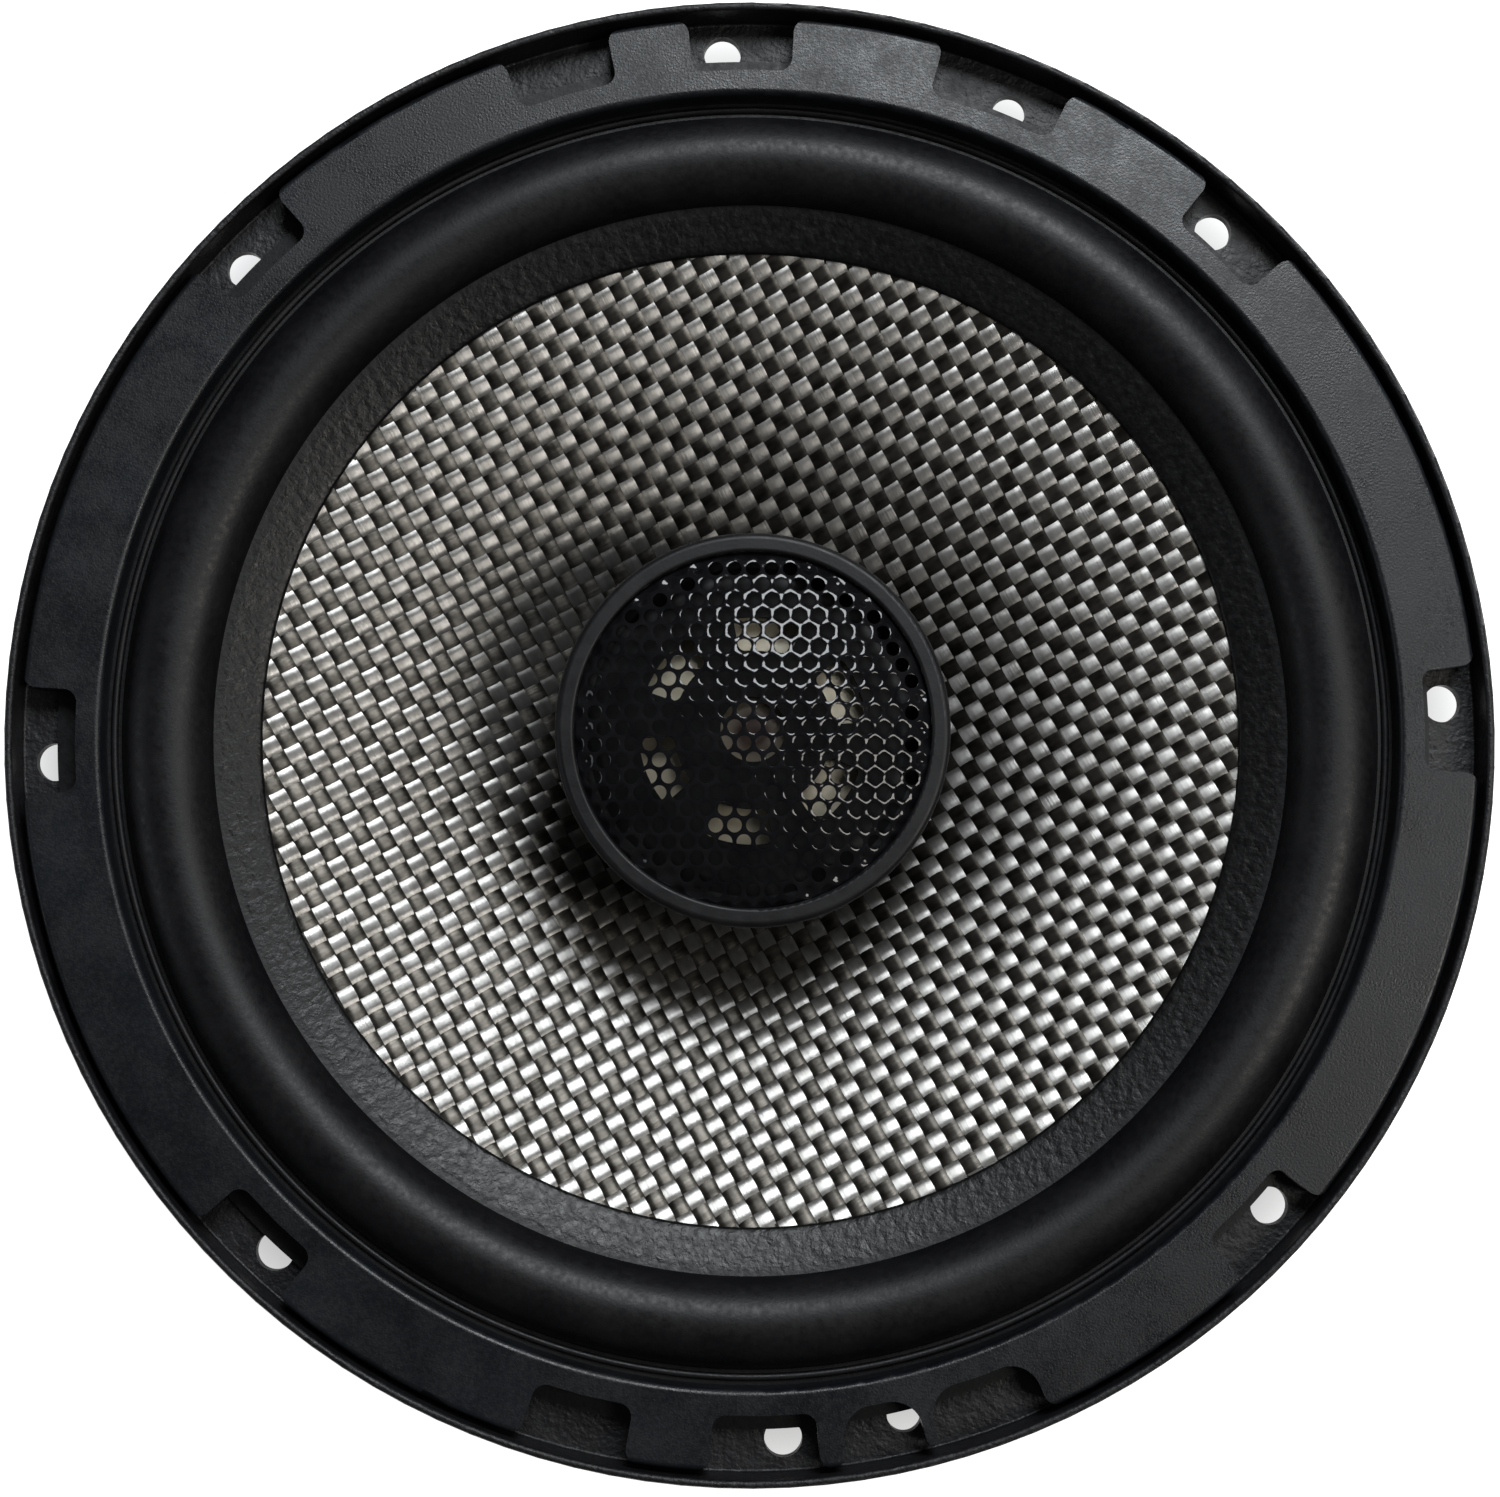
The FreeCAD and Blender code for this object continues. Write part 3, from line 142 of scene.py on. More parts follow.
class Look:
    """A material being made: its node tree, its shader and the object's own coordinates."""

    def __init__(self, name, color, roughness, **sockets):
        self.material = bpy.data.materials.new(name)
        self.material.use_nodes = True
        self.tree = self.material.node_tree
        self.shader = self.tree.nodes["Principled BSDF"]
        self.shader.inputs["Base Color"].default_value = (*color, 1)
        self.shader.inputs["Roughness"].default_value = roughness
        for socket, value in sockets.items():
            self.shader.inputs[socket.replace("_", " ")].default_value = value
        self.place = self.add("ShaderNodeTexCoord").outputs["Object"]

    def add(self, kind, **settings):
        """A node with its settings."""
        node = self.tree.nodes.new(kind)
        for key, value in settings.items():
            setattr(node, key, value)
        return node

    def feed(self, socket, value):
        """Connect an output, or write a number."""
        if isinstance(value, bpy.types.NodeSocket):
            self.tree.links.new(value, socket)
        else:
            socket.default_value = value

    def math(self, operation, first, second=0.0):
        """One arithmetic step."""
        node = self.add("ShaderNodeMath", operation=operation)
        self.feed(node.inputs[0], first)
        self.feed(node.inputs[1], second)
        return node.outputs[0]

    def noise(self, size, detail=2.0, place=None, stretch=None):
        """Noise whose features are about this many millimetres wide."""
        node = self.add("ShaderNodeTexNoise")
        node.inputs["Scale"].default_value = 1 / (size * MM)
        node.inputs["Detail"].default_value = detail
        place = place or self.place
        if stretch:
            scaling = self.add("ShaderNodeVectorMath", operation="MULTIPLY")
            self.feed(scaling.inputs[0], place)
            scaling.inputs[1].default_value = stretch
            place = scaling.outputs[0]
        self.feed(node.inputs["Vector"], place)
        return node.outputs["Fac"]

    def spots(self, size):
        """Distance to scattered points about this many millimetres apart."""
        node = self.add("ShaderNodeTexVoronoi")
        node.inputs["Scale"].default_value = 1 / (size * MM)
        self.feed(node.inputs["Vector"], self.place)
        return node.outputs["Distance"]

    def span(self, value, low, high, new_low, new_high):
        """Map one range of numbers to another, without overshoot."""
        node = self.add("ShaderNodeMapRange")
        self.feed(node.inputs["Value"], value)
        node.inputs["From Min"].default_value = low
        node.inputs["From Max"].default_value = high
        node.inputs["To Min"].default_value = new_low
        node.inputs["To Max"].default_value = new_high
        return node.outputs["Result"]

    def blend(self, factor, first, second):
        """Mix two colours."""
        node = self.add("ShaderNodeMix", data_type="RGBA")
        self.feed(node.inputs["Factor"], factor)
        for socket, color in zip(("A", "B"), (first, second)):
            target = [entry for entry in node.inputs if entry.name == socket and entry.type == "RGBA"][0]
            if isinstance(color, bpy.types.NodeSocket):
                self.tree.links.new(color, target)
            else:
                target.default_value = (*color, 1)
        return [entry for entry in node.outputs if entry.type == "RGBA"][0]

    def color(self, value):
        self.feed(self.shader.inputs["Base Color"], value)

    def roughness(self, value):
        self.feed(self.shader.inputs["Roughness"], value)

    def bump(self, height, depth, strength=1.0):
        """Raise the surface by a height pattern, this many millimetres deep."""
        node = self.add("ShaderNodeBump")
        node.inputs["Strength"].default_value = strength
        node.inputs["Distance"].default_value = depth * MM
        self.feed(node.inputs["Height"], height)
        normal = self.shader.inputs["Normal"]
        if normal.is_linked:
            self.tree.links.new(normal.links[0].from_socket, node.inputs["Normal"])
        self.tree.links.new(node.outputs["Normal"], normal)

    def axes(self):
        """The separate X, Y and Z of the object's coordinates, in metres."""
        node = self.add("ShaderNodeSeparateXYZ")
        self.feed(node.inputs[0], self.place)
        return node.outputs

    def radius(self):
        """Distance from the speaker's axis, in metres."""
        x, y, _ = self.axes()
        squares = self.math("ADD", self.math("MULTIPLY", x, x), self.math("MULTIPLY", y, y))
        return self.math("SQRT", squares)


def plain_finish(name, dark, light, rough, grain, depth, **sockets):
    """Moulded, painted or cast surface: uneven colour, uneven gloss and a fine grain."""
    look = Look(name, dark, rough[0], **sockets)
    cloud = look.span(look.noise(grain * 14, 4), 0.35, 0.65, 0, 1)
    look.color(look.blend(cloud, dark, light))
    look.roughness(look.span(look.noise(grain * 5, 3), 0.3, 0.7, rough[0], rough[1]))
    look.bump(look.noise(grain, 3), depth)
    return look


def powder_coat():
    """Coarse textured powder coat on the steel basket."""
    look = plain_finish("powder_coat", (0.003, 0.003, 0.004), (0.007, 0.007, 0.009),
                        (0.42, 0.58), 0.5, 0.10)
    look.bump(look.noise(1.3, 2), 0.14)
    return look


def inner_rim_normal(look):
    """Surface direction that follows the round of the ring's inner edge, and the mesh elsewhere."""
    x, y, z = look.axes()
    radius = look.radius()
    share = look.math("DIVIDE", look.math("SUBTRACT", radius, RIM_CORE_R * MM), radius)
    outward = look.add("ShaderNodeCombineXYZ")
    look.feed(outward.inputs[0], look.math("MULTIPLY", x, share))
    look.feed(outward.inputs[1], look.math("MULTIPLY", y, share))
    look.feed(outward.inputs[2], look.math("SUBTRACT", z, RIM_CORE_Z * MM))
    unit = look.add("ShaderNodeVectorMath", operation="NORMALIZE")
    look.feed(unit.inputs[0], outward.outputs[0])
    on_rim = look.math("MULTIPLY", look.math("LESS_THAN", radius, RIM_CORE_R * MM),
                       look.math("GREATER_THAN", z, RIM_CORE_Z * MM))
    choice = look.add("ShaderNodeMix", data_type="VECTOR")
    first, second = [entry for entry in choice.inputs if entry.type == "VECTOR" and entry.name in "AB"]
    look.feed(choice.inputs["Factor"], on_rim)
    look.feed(first, look.add("ShaderNodeNewGeometry").outputs["Normal"])
    look.feed(second, unit.outputs[0])
    return [entry for entry in choice.outputs if entry.type == "VECTOR"][0]


def moulded_ring():
    """Satin grain of the moulded front ring, with soft smudges."""
    look = Look("moulded_ring", (0.006, 0.006, 0.007), 0.5)
    cloud = look.span(look.noise(9, 3), 0.35, 0.65, 0, 1)
    look.color(look.blend(cloud, (0.004, 0.005, 0.007), (0.008, 0.010, 0.013)))
    smudges = look.span(look.noise(5, 1.5), 0.3, 0.7, 0, 0.14)
    grain = look.span(look.noise(0.5, 2), 0.35, 0.65, 0.27, 0.38)
    look.roughness(look.math("ADD", smudges, grain))
    look.tree.links.new(inner_rim_normal(look), look.shader.inputs["Normal"])
    look.bump(look.noise(0.26, 2), 0.035)
    return look


def weave_height(look):
    """Height pattern of the weave under a thin skin, from 0 in the furrows to 1 on the floats."""
    x, y, _ = look.axes()
    turn = math.pi / (YARN_PITCH * MM)
    lean_x = math.cos(YARN_LEAN) * turn
    lean_y = math.sin(YARN_LEAN) * turn
    along = look.math("ADD", look.math("MULTIPLY", x, lean_x), look.math("MULTIPLY", y, lean_y))
    across = look.math("ADD", look.math("MULTIPLY", x, -lean_y), look.math("MULTIPLY", y, lean_x))
    product = look.math("MULTIPLY", look.math("COSINE", along), look.math("COSINE", across))
    return look.math("POWER", look.math("ABSOLUTE", product), 0.55)


def surround_rubber():
    """Matte rubber with a faint bloom, pebbled where it is glued to the cone."""
    look = Look("surround_rubber", (0.004, 0.004, 0.005), 0.5, Specular_IOR_Level=0.36)
    glued = look.span(look.radius(), 59.3 * MM, 60.6 * MM, 1, 0)
    bloom = look.span(look.noise(6, 5), 0.4, 0.7, 0, 1)
    roll = look.blend(bloom, (0.003, 0.003, 0.004), (0.007, 0.007, 0.008))
    look.color(look.blend(glued, roll, (0.002, 0.002, 0.0025)))
    look.roughness(look.math("SUBTRACT", look.span(look.noise(0.8, 4), 0.3, 0.7, 0.38, 0.54),
                             look.math("MULTIPLY", glued, 0.08)))
    look.bump(look.noise(0.35, 3), 0.018)
    look.bump(look.math("MULTIPLY", weave_height(look), glued), 0.018)
    look.bump(look.math("MULTIPLY", look.noise(0.9, 3), glued), 0.11)
    return look


def yarn(name, light, dark, sheen_seed):
    """Metal-coated glass yarn: fine fibres along its length, and a gloss that stretches across them. Its
    colour is darkened towards the cone's centre as painted shade around the tweeter.
    """
    look = Look(name, light, 0.38, Metallic=0.9, Anisotropic=0.8, Anisotropic_Rotation=0.25)
    uv = look.add("ShaderNodeTexCoord").outputs["UV"]
    moved = look.add("ShaderNodeVectorMath", operation="ADD")
    look.feed(moved.inputs[0], uv)
    moved.inputs[1].default_value = (sheen_seed, sheen_seed, 0)
    place = moved.outputs[0]
    fibres = look.noise(1000, 4, place, (0.35, 16.0, 1.0))
    patches = look.noise(1000, 2, place, (0.55, 1.3, 1.0))
    shades = look.blend(look.span(patches, 0.35, 0.65, 0, 1), light, dark)
    # Painted shade around the tweeter: the colour darkens towards the cone's centre.
    painted_tweeter_shade = look.span(look.radius(), 18 * MM, 44 * MM, 0.55, 0)
    look.color(look.blend(painted_tweeter_shade, shades, tuple(channel * 0.1 for channel in dark)))
    look.roughness(look.span(fibres, 0.3, 0.7, 0.32, 0.48))
    look.bump(fibres, 0.05)
    tangent = look.add("ShaderNodeTangent", direction_type="UV_MAP", uv_map="UVMap")
    look.feed(look.shader.inputs["Tangent"], tangent.outputs[0])
    return look


def cone_backing():
    """Dark resin coat behind the woven cone."""
    look = plain_finish("cone_backing", (0.012, 0.012, 0.013), (0.03, 0.03, 0.032),
                        (0.4, 0.6), 0.6, 0.02)
    look.bump(weave_height(look), 0.12)
    return look


def cloth(name, dark, light, thread):
    """Plain cloth with threads along X and Y, stiffened with resin, with painted shade in the furrows
    between threads.
    """
    look = Look(name, dark, 0.8, Sheen_Weight=0.2)
    x, y, _ = look.axes()
    turn = math.pi / (thread * MM)
    first = look.math("COSINE", look.math("MULTIPLY", x, turn))
    second = look.math("COSINE", look.math("MULTIPLY", y, turn))
    height = look.math("POWER", look.math("ABSOLUTE", look.math("MULTIPLY", first, second)), 0.5)
    cloud = look.span(look.noise(4, 4), 0.35, 0.65, 0, 1)
    # Painted shade: the furrows between the threads are coloured darker.
    furrow_shade = tuple(channel * 0.4 for channel in dark)
    look.color(look.blend(height, furrow_shade, look.blend(cloud, dark, light)))
    look.roughness(look.span(look.noise(0.5, 2), 0.3, 0.7, 0.65, 0.9))
    look.bump(height, thread * 0.2)
    return look


def turned_steel(name, dark, light, rough):
    """Zinc-plated steel with fine rings from turning."""
    look = Look(name, dark, rough, Metallic=1.0, Anisotropic=0.4)
    rings = look.add("ShaderNodeTexWave", wave_type="RINGS", rings_direction="Z")
    rings.inputs["Scale"].default_value = 1 / (2.2 * MM)
    rings.inputs["Distortion"].default_value = 1.5
    look.feed(rings.inputs["Vector"], look.place)
    cloud = look.span(look.noise(7, 5), 0.35, 0.65, 0, 1)
    look.color(look.blend(cloud, dark, light))
    look.roughness(look.span(look.noise(1.5, 4), 0.3, 0.7, rough - 0.08, rough + 0.1))
    look.bump(rings.outputs["Fac"], 0.01)
    look.bump(look.noise(0.3, 2), 0.006)
    return look


def ferrite():
    """Sintered ferrite: dark, fine-grained, with small pits."""
    look = Look("ferrite", (0.05, 0.05, 0.055), 0.55)
    pits = look.span(look.spots(0.9), 0.05, 0.25, 0, 1)
    cloud = look.span(look.noise(5, 5), 0.35, 0.65, 0, 1)
    look.color(look.blend(cloud, (0.035, 0.035, 0.038), (0.06, 0.06, 0.066)))
    look.roughness(look.span(pits, 0, 1, 0.75, 0.45))
    look.bump(pits, 0.04)
    look.bump(look.noise(0.25, 3), 0.02)
    return look


def copper_turns():
    """Lacquered copper wire, wound in fine turns along Z."""
    look = Look("copper_wire", (0.6, 0.24, 0.10), 0.3, Metallic=1.0, Coat_Weight=0.5, Coat_Roughness=0.15)
    wire = 0.25
    turn = look.math("MULTIPLY", look.axes()[2], math.pi / (wire * MM))
    height = look.math("ABSOLUTE", look.math("SINE", turn))
    cloud = look.span(look.noise(2, 3), 0.35, 0.65, 0, 1)
    look.color(look.blend(cloud, (0.5, 0.18, 0.07), (0.72, 0.32, 0.14)))
    look.roughness(look.span(height, 0, 1, 0.45, 0.25))
    look.bump(height, 0.06)
    return look


def tinsel_braid():
    """Copper tinsel woven around a thread."""
    look = Look("tinsel_braid", (0.6, 0.4, 0.22), 0.4, Metallic=0.9)
    braid = look.spots(0.28)
    look.color(look.blend(look.span(braid, 0.1, 0.6, 0, 1), (0.75, 0.52, 0.3), (0.2, 0.11, 0.05)))
    look.roughness(look.span(look.noise(0.4, 2), 0.3, 0.7, 0.3, 0.55))
    look.bump(braid, 0.06)
    return look


def gloss_paint():
    """Glossy black paint on the punched grille, drawn round at the edge of every hole."""
    look = Look("grille_paint", (0.006, 0.006, 0.007), 0.12, Specular_IOR_Level=0.4)
    cloud = look.span(look.noise(3, 3), 0.35, 0.65, 0, 1)
    look.color(look.blend(cloud, (0.004, 0.004, 0.005), (0.009, 0.009, 0.01)))
    look.roughness(look.span(look.noise(0.9, 3), 0.3, 0.7, 0.07, 0.13))
    x, y, _ = look.axes()
    turn = 2 * math.pi / (GRILLE_PITCH * MM)
    level = look.math("MULTIPLY", y, turn / math.sqrt(3))
    first = look.math("COSINE", look.math("SUBTRACT", look.math("MULTIPLY", x, turn), level))
    second = look.math("COSINE", look.math("ADD", look.math("MULTIPLY", x, turn), level))
    third = look.math("COSINE", look.math("MULTIPLY", level, 2.0))
    holes = look.math("ADD", look.math("ADD", first, second), third)
    look.bump(look.math("MULTIPLY", holes, -1.0), 0.06)
    look.bump(look.noise(0.5, 2), 0.006)
    return look


def tweeter_plastic():
    """Satin black plastic, dull where the guard lies under the grille."""
    look = plain_finish("tweeter_plastic", (0.005, 0.005, 0.006), (0.010, 0.010, 0.011),
                        (0.38, 0.50), 0.35, 0.012, Specular_IOR_Level=0.35)
    satin = look.span(look.noise(1.75, 3), 0.3, 0.7, 0.38, 0.50)
    dull = look.span(look.radius(), GUARD_R * MM, (GUARD_R + 0.8) * MM, 0.45, 0)
    look.roughness(look.math("ADD", satin, dull))
    return look


def dome_film():
    """Cream coated silk dome with a very fine grain and a dark red-brown centre."""
    look = Look("dome_film", (0.62, 0.52, 0.34), 0.38, Sheen_Weight=0.1)
    centre = look.span(look.radius(), 1.5 * MM, 8.5 * MM, 1, 0)
    cloud = look.span(look.noise(1.5, 4), 0.35, 0.65, 0, 1)
    cream = look.blend(cloud, (0.80, 0.72, 0.54), (0.90, 0.83, 0.66))
    look.color(look.blend(centre, cream, (0.035, 0.016, 0.011)))
    look.roughness(look.span(look.noise(0.6, 3), 0.3, 0.7, 0.3, 0.5))
    look.bump(look.noise(0.12, 2), 0.01)
    return look


def shrink_sleeve():
    """Unprinted plastic sleeve of the capacitor, with faint shrink lines."""
    look = Look("capacitor_sleeve", (0.02, 0.035, 0.12), 0.22, Coat_Weight=0.4)
    lines = look.noise(1.2, 3, None, (1.0, 0.2, 1.0))
    look.color(look.blend(look.span(lines, 0.4, 0.6, 0, 1), (0.016, 0.028, 0.10), (0.03, 0.05, 0.16)))
    look.roughness(look.span(look.noise(0.7, 3), 0.3, 0.7, 0.18, 0.32))
    look.bump(lines, 0.03)
    return look


def laminate():
    """Brown paper laminate with visible fibres."""
    look = Look("terminal_laminate", (0.22, 0.10, 0.04), 0.45)
    fibres = look.noise(0.7, 4, None, (1.0, 0.15, 1.0))
    look.color(look.blend(look.span(fibres, 0.35, 0.65, 0, 1), (0.17, 0.075, 0.03), (0.30, 0.15, 0.07)))
    look.roughness(look.span(look.noise(1.5, 3), 0.3, 0.7, 0.35, 0.55))
    look.bump(fibres, 0.015)
    return look


# Plain finishes: dark and light colour, lowest and highest roughness, grain size and bump depth
BLACK = (0.010, 0.010, 0.011)
SOFT_BLACK = (0.02, 0.02, 0.022)
METAL = {
    "former_foil": ((0.35, 0.25, 0.13), (0.5, 0.38, 0.22), (0.3, 0.5), 0.5, 0.01, 0.6),
    "tinned_lug": ((0.55, 0.54, 0.50), (0.7, 0.69, 0.66), (0.22, 0.4), 0.4, 0.01, 1.0),
    "rivet_metal": ((0.42, 0.42, 0.42), (0.6, 0.6, 0.6), (0.28, 0.45), 0.4, 0.015, 1.0),
    "nickel_plate": ((0.6, 0.58, 0.53), (0.7, 0.68, 0.63), (0.12, 0.25), 0.6, 0.005, 1.0),
    "black_oxide": ((0.03, 0.03, 0.033), (0.06, 0.06, 0.063), (0.3, 0.5), 0.4, 0.01, 0.8),
    "solder": ((0.5, 0.5, 0.49), (0.66, 0.66, 0.65), (0.2, 0.4), 0.5, 0.03, 1.0),
}
NOT_METAL = {
    "joint_glue": ((0.03, 0.02, 0.015), (0.06, 0.045, 0.03), (0.15, 0.3), 0.8, 0.06),
    "post_paint": (BLACK, SOFT_BLACK, (0.35, 0.5), 0.5, 0.02),
    "dome_roll": ((0.02, 0.015, 0.012), (0.04, 0.03, 0.025), (0.45, 0.6), 0.3, 0.01),
    "red_insulation": ((0.30, 0.008, 0.006), (0.42, 0.02, 0.014), (0.35, 0.5), 0.5, 0.01),
    "black_insulation": (BLACK, SOFT_BLACK, (0.35, 0.5), 0.5, 0.01),
    "hot_glue": ((0.45, 0.38, 0.24), (0.6, 0.52, 0.36), (0.18, 0.3), 1.0, 0.08),
}


def all_looks():
    """One material for each of the record's slots."""
    looks = {
        "powder_coat": powder_coat(),
        "moulded_ring": moulded_ring(),
        "surround_rubber": surround_rubber(),
        "woven_silver": cone_backing(),
        "black_cloth": cloth("black_cloth", (0.012, 0.012, 0.012), (0.03, 0.03, 0.03), 0.5),
        "copper_wire": copper_turns(),
        "spider_cloth": cloth("spider_cloth", (0.36, 0.20, 0.05), (0.50, 0.31, 0.10), 0.55),
        "tinsel_braid": tinsel_braid(),
        "terminal_laminate": laminate(),
        "plated_iron": turned_steel("plated_iron", (0.46, 0.45, 0.42), (0.58, 0.57, 0.53), 0.34),
        "ferrite": ferrite(),
        "tweeter_plastic": tweeter_plastic(),
        "grille_paint": gloss_paint(),
        "dome_film": dome_film(),
        "capacitor_sleeve": shrink_sleeve(),
    }
    for name, (*finish, metallic) in METAL.items():
        looks[name] = plain_finish(name, *finish, Metallic=metallic)
    for name, finish in NOT_METAL.items():
        looks[name] = plain_finish(name, *finish)
    return looks


def dress_cad_nodes(looks):
    """Give every CAD node the material of its slot."""
    for entry in frame["record"]["subparts"]:
        node = frame["nodes"][entry["node"]]
        node.data.materials.clear()
        node.data.materials.append(looks[entry["material_slot"]].material)


# Shapes

def new_piece(name, points, faces, material):
    """A smooth mesh object from points in millimetres."""
    mesh = bpy.data.meshes.new(name)
    mesh.from_pydata([tuple(point) for point in np.asarray(points) * MM], [], faces)
    mesh.polygons.foreach_set("use_smooth", [True] * len(mesh.polygons))
    mesh.materials.append(material)
    mesh.update()
    piece = bpy.data.objects.new(name, mesh)
    bpy.context.scene.collection.objects.link(piece)
    return piece


def arc_through(start, middle, end, steps):
    """Points along the circle through three (radius, height) points."""
    (ax, ay), (bx, by), (cx, cy) = start, middle, end
    scale = 2 * (ax * (by - cy) + bx * (cy - ay) + cx * (ay - by))
    a_square, b_square, c_square = ax * ax + ay * ay, bx * bx + by * by, cx * cx + cy * cy
    centre_x = (a_square * (by - cy) + b_square * (cy - ay) + c_square * (ay - by)) / scale
    centre_y = (a_square * (cx - bx) + b_square * (ax - cx) + c_square * (bx - ax)) / scale
    radius = math.hypot(ax - centre_x, ay - centre_y)
    first = math.atan2(ay - centre_y, ax - centre_x)
    last = math.atan2(cy - centre_y, cx - centre_x)
    halfway = math.atan2(by - centre_y, bx - centre_x)
    turn = (last - first) % (2 * math.pi)
    if (halfway - first) % (2 * math.pi) > turn:
        turn -= 2 * math.pi
    points = []
    for step in range(steps + 1):
        angle = first + turn * step / steps
        points.append((centre_x + radius * math.cos(angle), centre_y + radius * math.sin(angle)))
    return points


def lathe(name, profile, segments, material):
    """Turn a closed (radius, height) profile around the axis."""
    count = len(profile)
    points = []
    for segment in range(segments):
        angle = 2 * math.pi * segment / segments
        for radius, height in profile:
            points.append((radius * math.cos(angle), radius * math.sin(angle), height))
    faces = []
    for segment in range(segments):
        here = segment * count
        there = (segment + 1) % segments * count
        for index in range(count):
            following = (index + 1) % count
            faces.append((here + index, there + index, there + following, here + following))
    piece = new_piece(name, points, faces, material)
    piece.data.set_sharp_from_angle(angle=math.radians(40))
    return piece


def bend_by_weight(piece):
    """Bake the piece's placement into its mesh."""
    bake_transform(piece)


def rim_height(radius):
    """Height of the straight outer part of the cone's front."""
    return RIM_START_Z + RIM_SLOPE * (radius - RIM_START_R)


def cone_height(radius):
    """Height of the cone's front and its slope, for an array of radii."""
    length = RIM_START_R - NECK_R
    part = np.clip((radius - NECK_R) / length, 0, 1)
    rest = 1 - part
    first_pull = NECK_Z + NECK_SLOPE * length / 3
    second_pull = RIM_START_Z - RIM_SLOPE * length / 3
    curved = (rest ** 3 * NECK_Z + 3 * rest ** 2 * part * first_pull
              + 3 * rest * part ** 2 * second_pull + part ** 3 * RIM_START_Z)
    slope = 3 * (rest ** 2 * (first_pull - NECK_Z) + 2 * rest * part * (second_pull - first_pull)
                 + part ** 2 * (RIM_START_Z - second_pull)) / length
    beyond = radius > RIM_START_R
    return np.where(beyond, rim_height(radius), curved), np.where(beyond, RIM_SLOPE, slope)


def yarn_spans(offset):
    """Where a straight yarn at this distance from the axis lies on the visible cone."""
    outer = COVERED_FROM_R + 0.6
    inner = NECK_R + 0.1
    if abs(offset) >= outer:
        return []
    far = math.sqrt(outer ** 2 - offset ** 2)
    if abs(offset) >= inner:
        return [(-far, far)]
    near = math.sqrt(inner ** 2 - offset ** 2)
    return [(-far, -near), (near, far)]


def make_yarns(name, direction, side, starts_over, look):
    """All the yarns of one direction, each a crowned ribbon that goes over and under the others."""
    points = []
    faces = []
    marks = []
    across = np.linspace(-1, 1, STEPS_ACROSS + 1)
    step = YARN_PITCH / STEPS_ALONG
    reach = int(COVERED_FROM_R / YARN_PITCH) + 1
    for number in range(-reach, reach + 1):
        offset = number * YARN_PITCH
        sign = starts_over * (1 if number % 2 == 0 else -1)
        for start, end in yarn_spans(offset):
            inside = np.arange(math.ceil(start / step), math.floor(end / step) + 1) * step
            along = np.concatenate(([start], inside, [end]))
            swing = np.cos(math.pi * along / YARN_PITCH)
            wave = sign * (1.5 * swing - 0.5 * swing ** 3)
            half_width = YARN_PITCH * YARN_WIDTH / 2 * (0.94 + 0.06 * wave)
            flat = offset + across[None, :] * half_width[:, None]
            x = direction[0] * along[:, None] + side[0] * flat
            y = direction[1] * along[:, None] + side[1] * flat
            radius = np.hypot(x, y)
            height, slope = cone_height(radius)
            lift = YARN_LIFT + YARN_WAVE * wave[:, None] - YARN_CROWN * across[None, :] ** 2
            lean = np.sqrt(1 + slope ** 2)
            first = len(points)
            placed = np.stack([
                x - lift * slope * x / (radius * lean),
                y - lift * slope * y / (radius * lean),
                height + lift / lean,
            ], axis=-1)
            points += placed.reshape(-1, 3).tolist()
            width = STEPS_ACROSS + 1
            for row in range(len(along) - 1):
                for column in range(STEPS_ACROSS):
                    corner = first + row * width + column
                    faces.append((corner, corner + width, corner + width + 1, corner + 1))
            for distance in along:
                marks += [(distance / YARN_PITCH, 3 * number + edge / 2) for edge in across]
    piece = new_piece(name, points, faces, look.material)
    layer = piece.data.uv_layers.new(name="UVMap")
    corners = np.empty(len(piece.data.loops), np.int32)
    piece.data.loops.foreach_get("vertex_index", corners)
    layer.data.foreach_set("uv", np.asarray(marks, np.float32)[corners].ravel())
    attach(piece, "diaphragm")
    return piece


def make_weave():
    """The plain weave of the cone's front."""
    direction = (math.cos(YARN_LEAN), math.sin(YARN_LEAN))
    side = (-direction[1], direction[0])
    warp = yarn("warp_yarn", (0.62, 0.61, 0.59), (0.40, 0.39, 0.37), 3.7)
    # The weft is the same yarn as the warp, in a much darker colour: painted shade.
    weft = yarn("weft_yarn", (0.14, 0.13, 0.115), (0.04, 0.037, 0.032), 11.3)
    make_yarns("cone_warp_yarns", direction, side, 1, warp)
    back = (-direction[0], -direction[1])
    make_yarns("cone_weft_yarns", side, back, -1, weft)


def surround_profile():
    """Outline of the rubber roll, its bead and its two flanges."""
    inner_flange = COVERED_FROM_R
    edge_round = [
        (inner_flange, rim_height(inner_flange) + 0.05),
        (inner_flange, rim_height(inner_flange) + RUBBER_WALL - 0.25),
        (inner_flange + 0.08, rim_height(inner_flange) + RUBBER_WALL - 0.08),
        (inner_flange + 0.25, rim_height(inner_flange) + RUBBER_WALL + 0.06),
    ]
    flange = [(radius, rim_height(radius) + RUBBER_WALL) for radius in (56.0, 57.0, 58.0, 59.0, 59.8)]
    roll_foot = (ROLL_INNER_R, rim_height(ROLL_INNER_R) + RUBBER_WALL)
    roll = arc_through(roll_foot, (ROLL_MIDDLE_R, ROLL_TOP), (ROLL_OUTER_R, FLANGE_TOP), 28)
    bead = arc_through((70.75, FLANGE_TOP), (71.15, FLANGE_TOP + 0.5), (71.6, FLANGE_TOP), 8)
    rim = [(72.5, FLANGE_TOP), (FLANGE_R, FLANGE_TOP), (FLANGE_R, FLANGE_Z)]
    underside = arc_through((69.6, FLANGE_Z), (ROLL_MIDDLE_R, ROLL_TOP - RUBBER_WALL), (61.0, 1.25), 20)
    foot = [(CONE_R, rim_height(CONE_R))]
    return edge_round + flange + roll + bead + rim + underside + foot


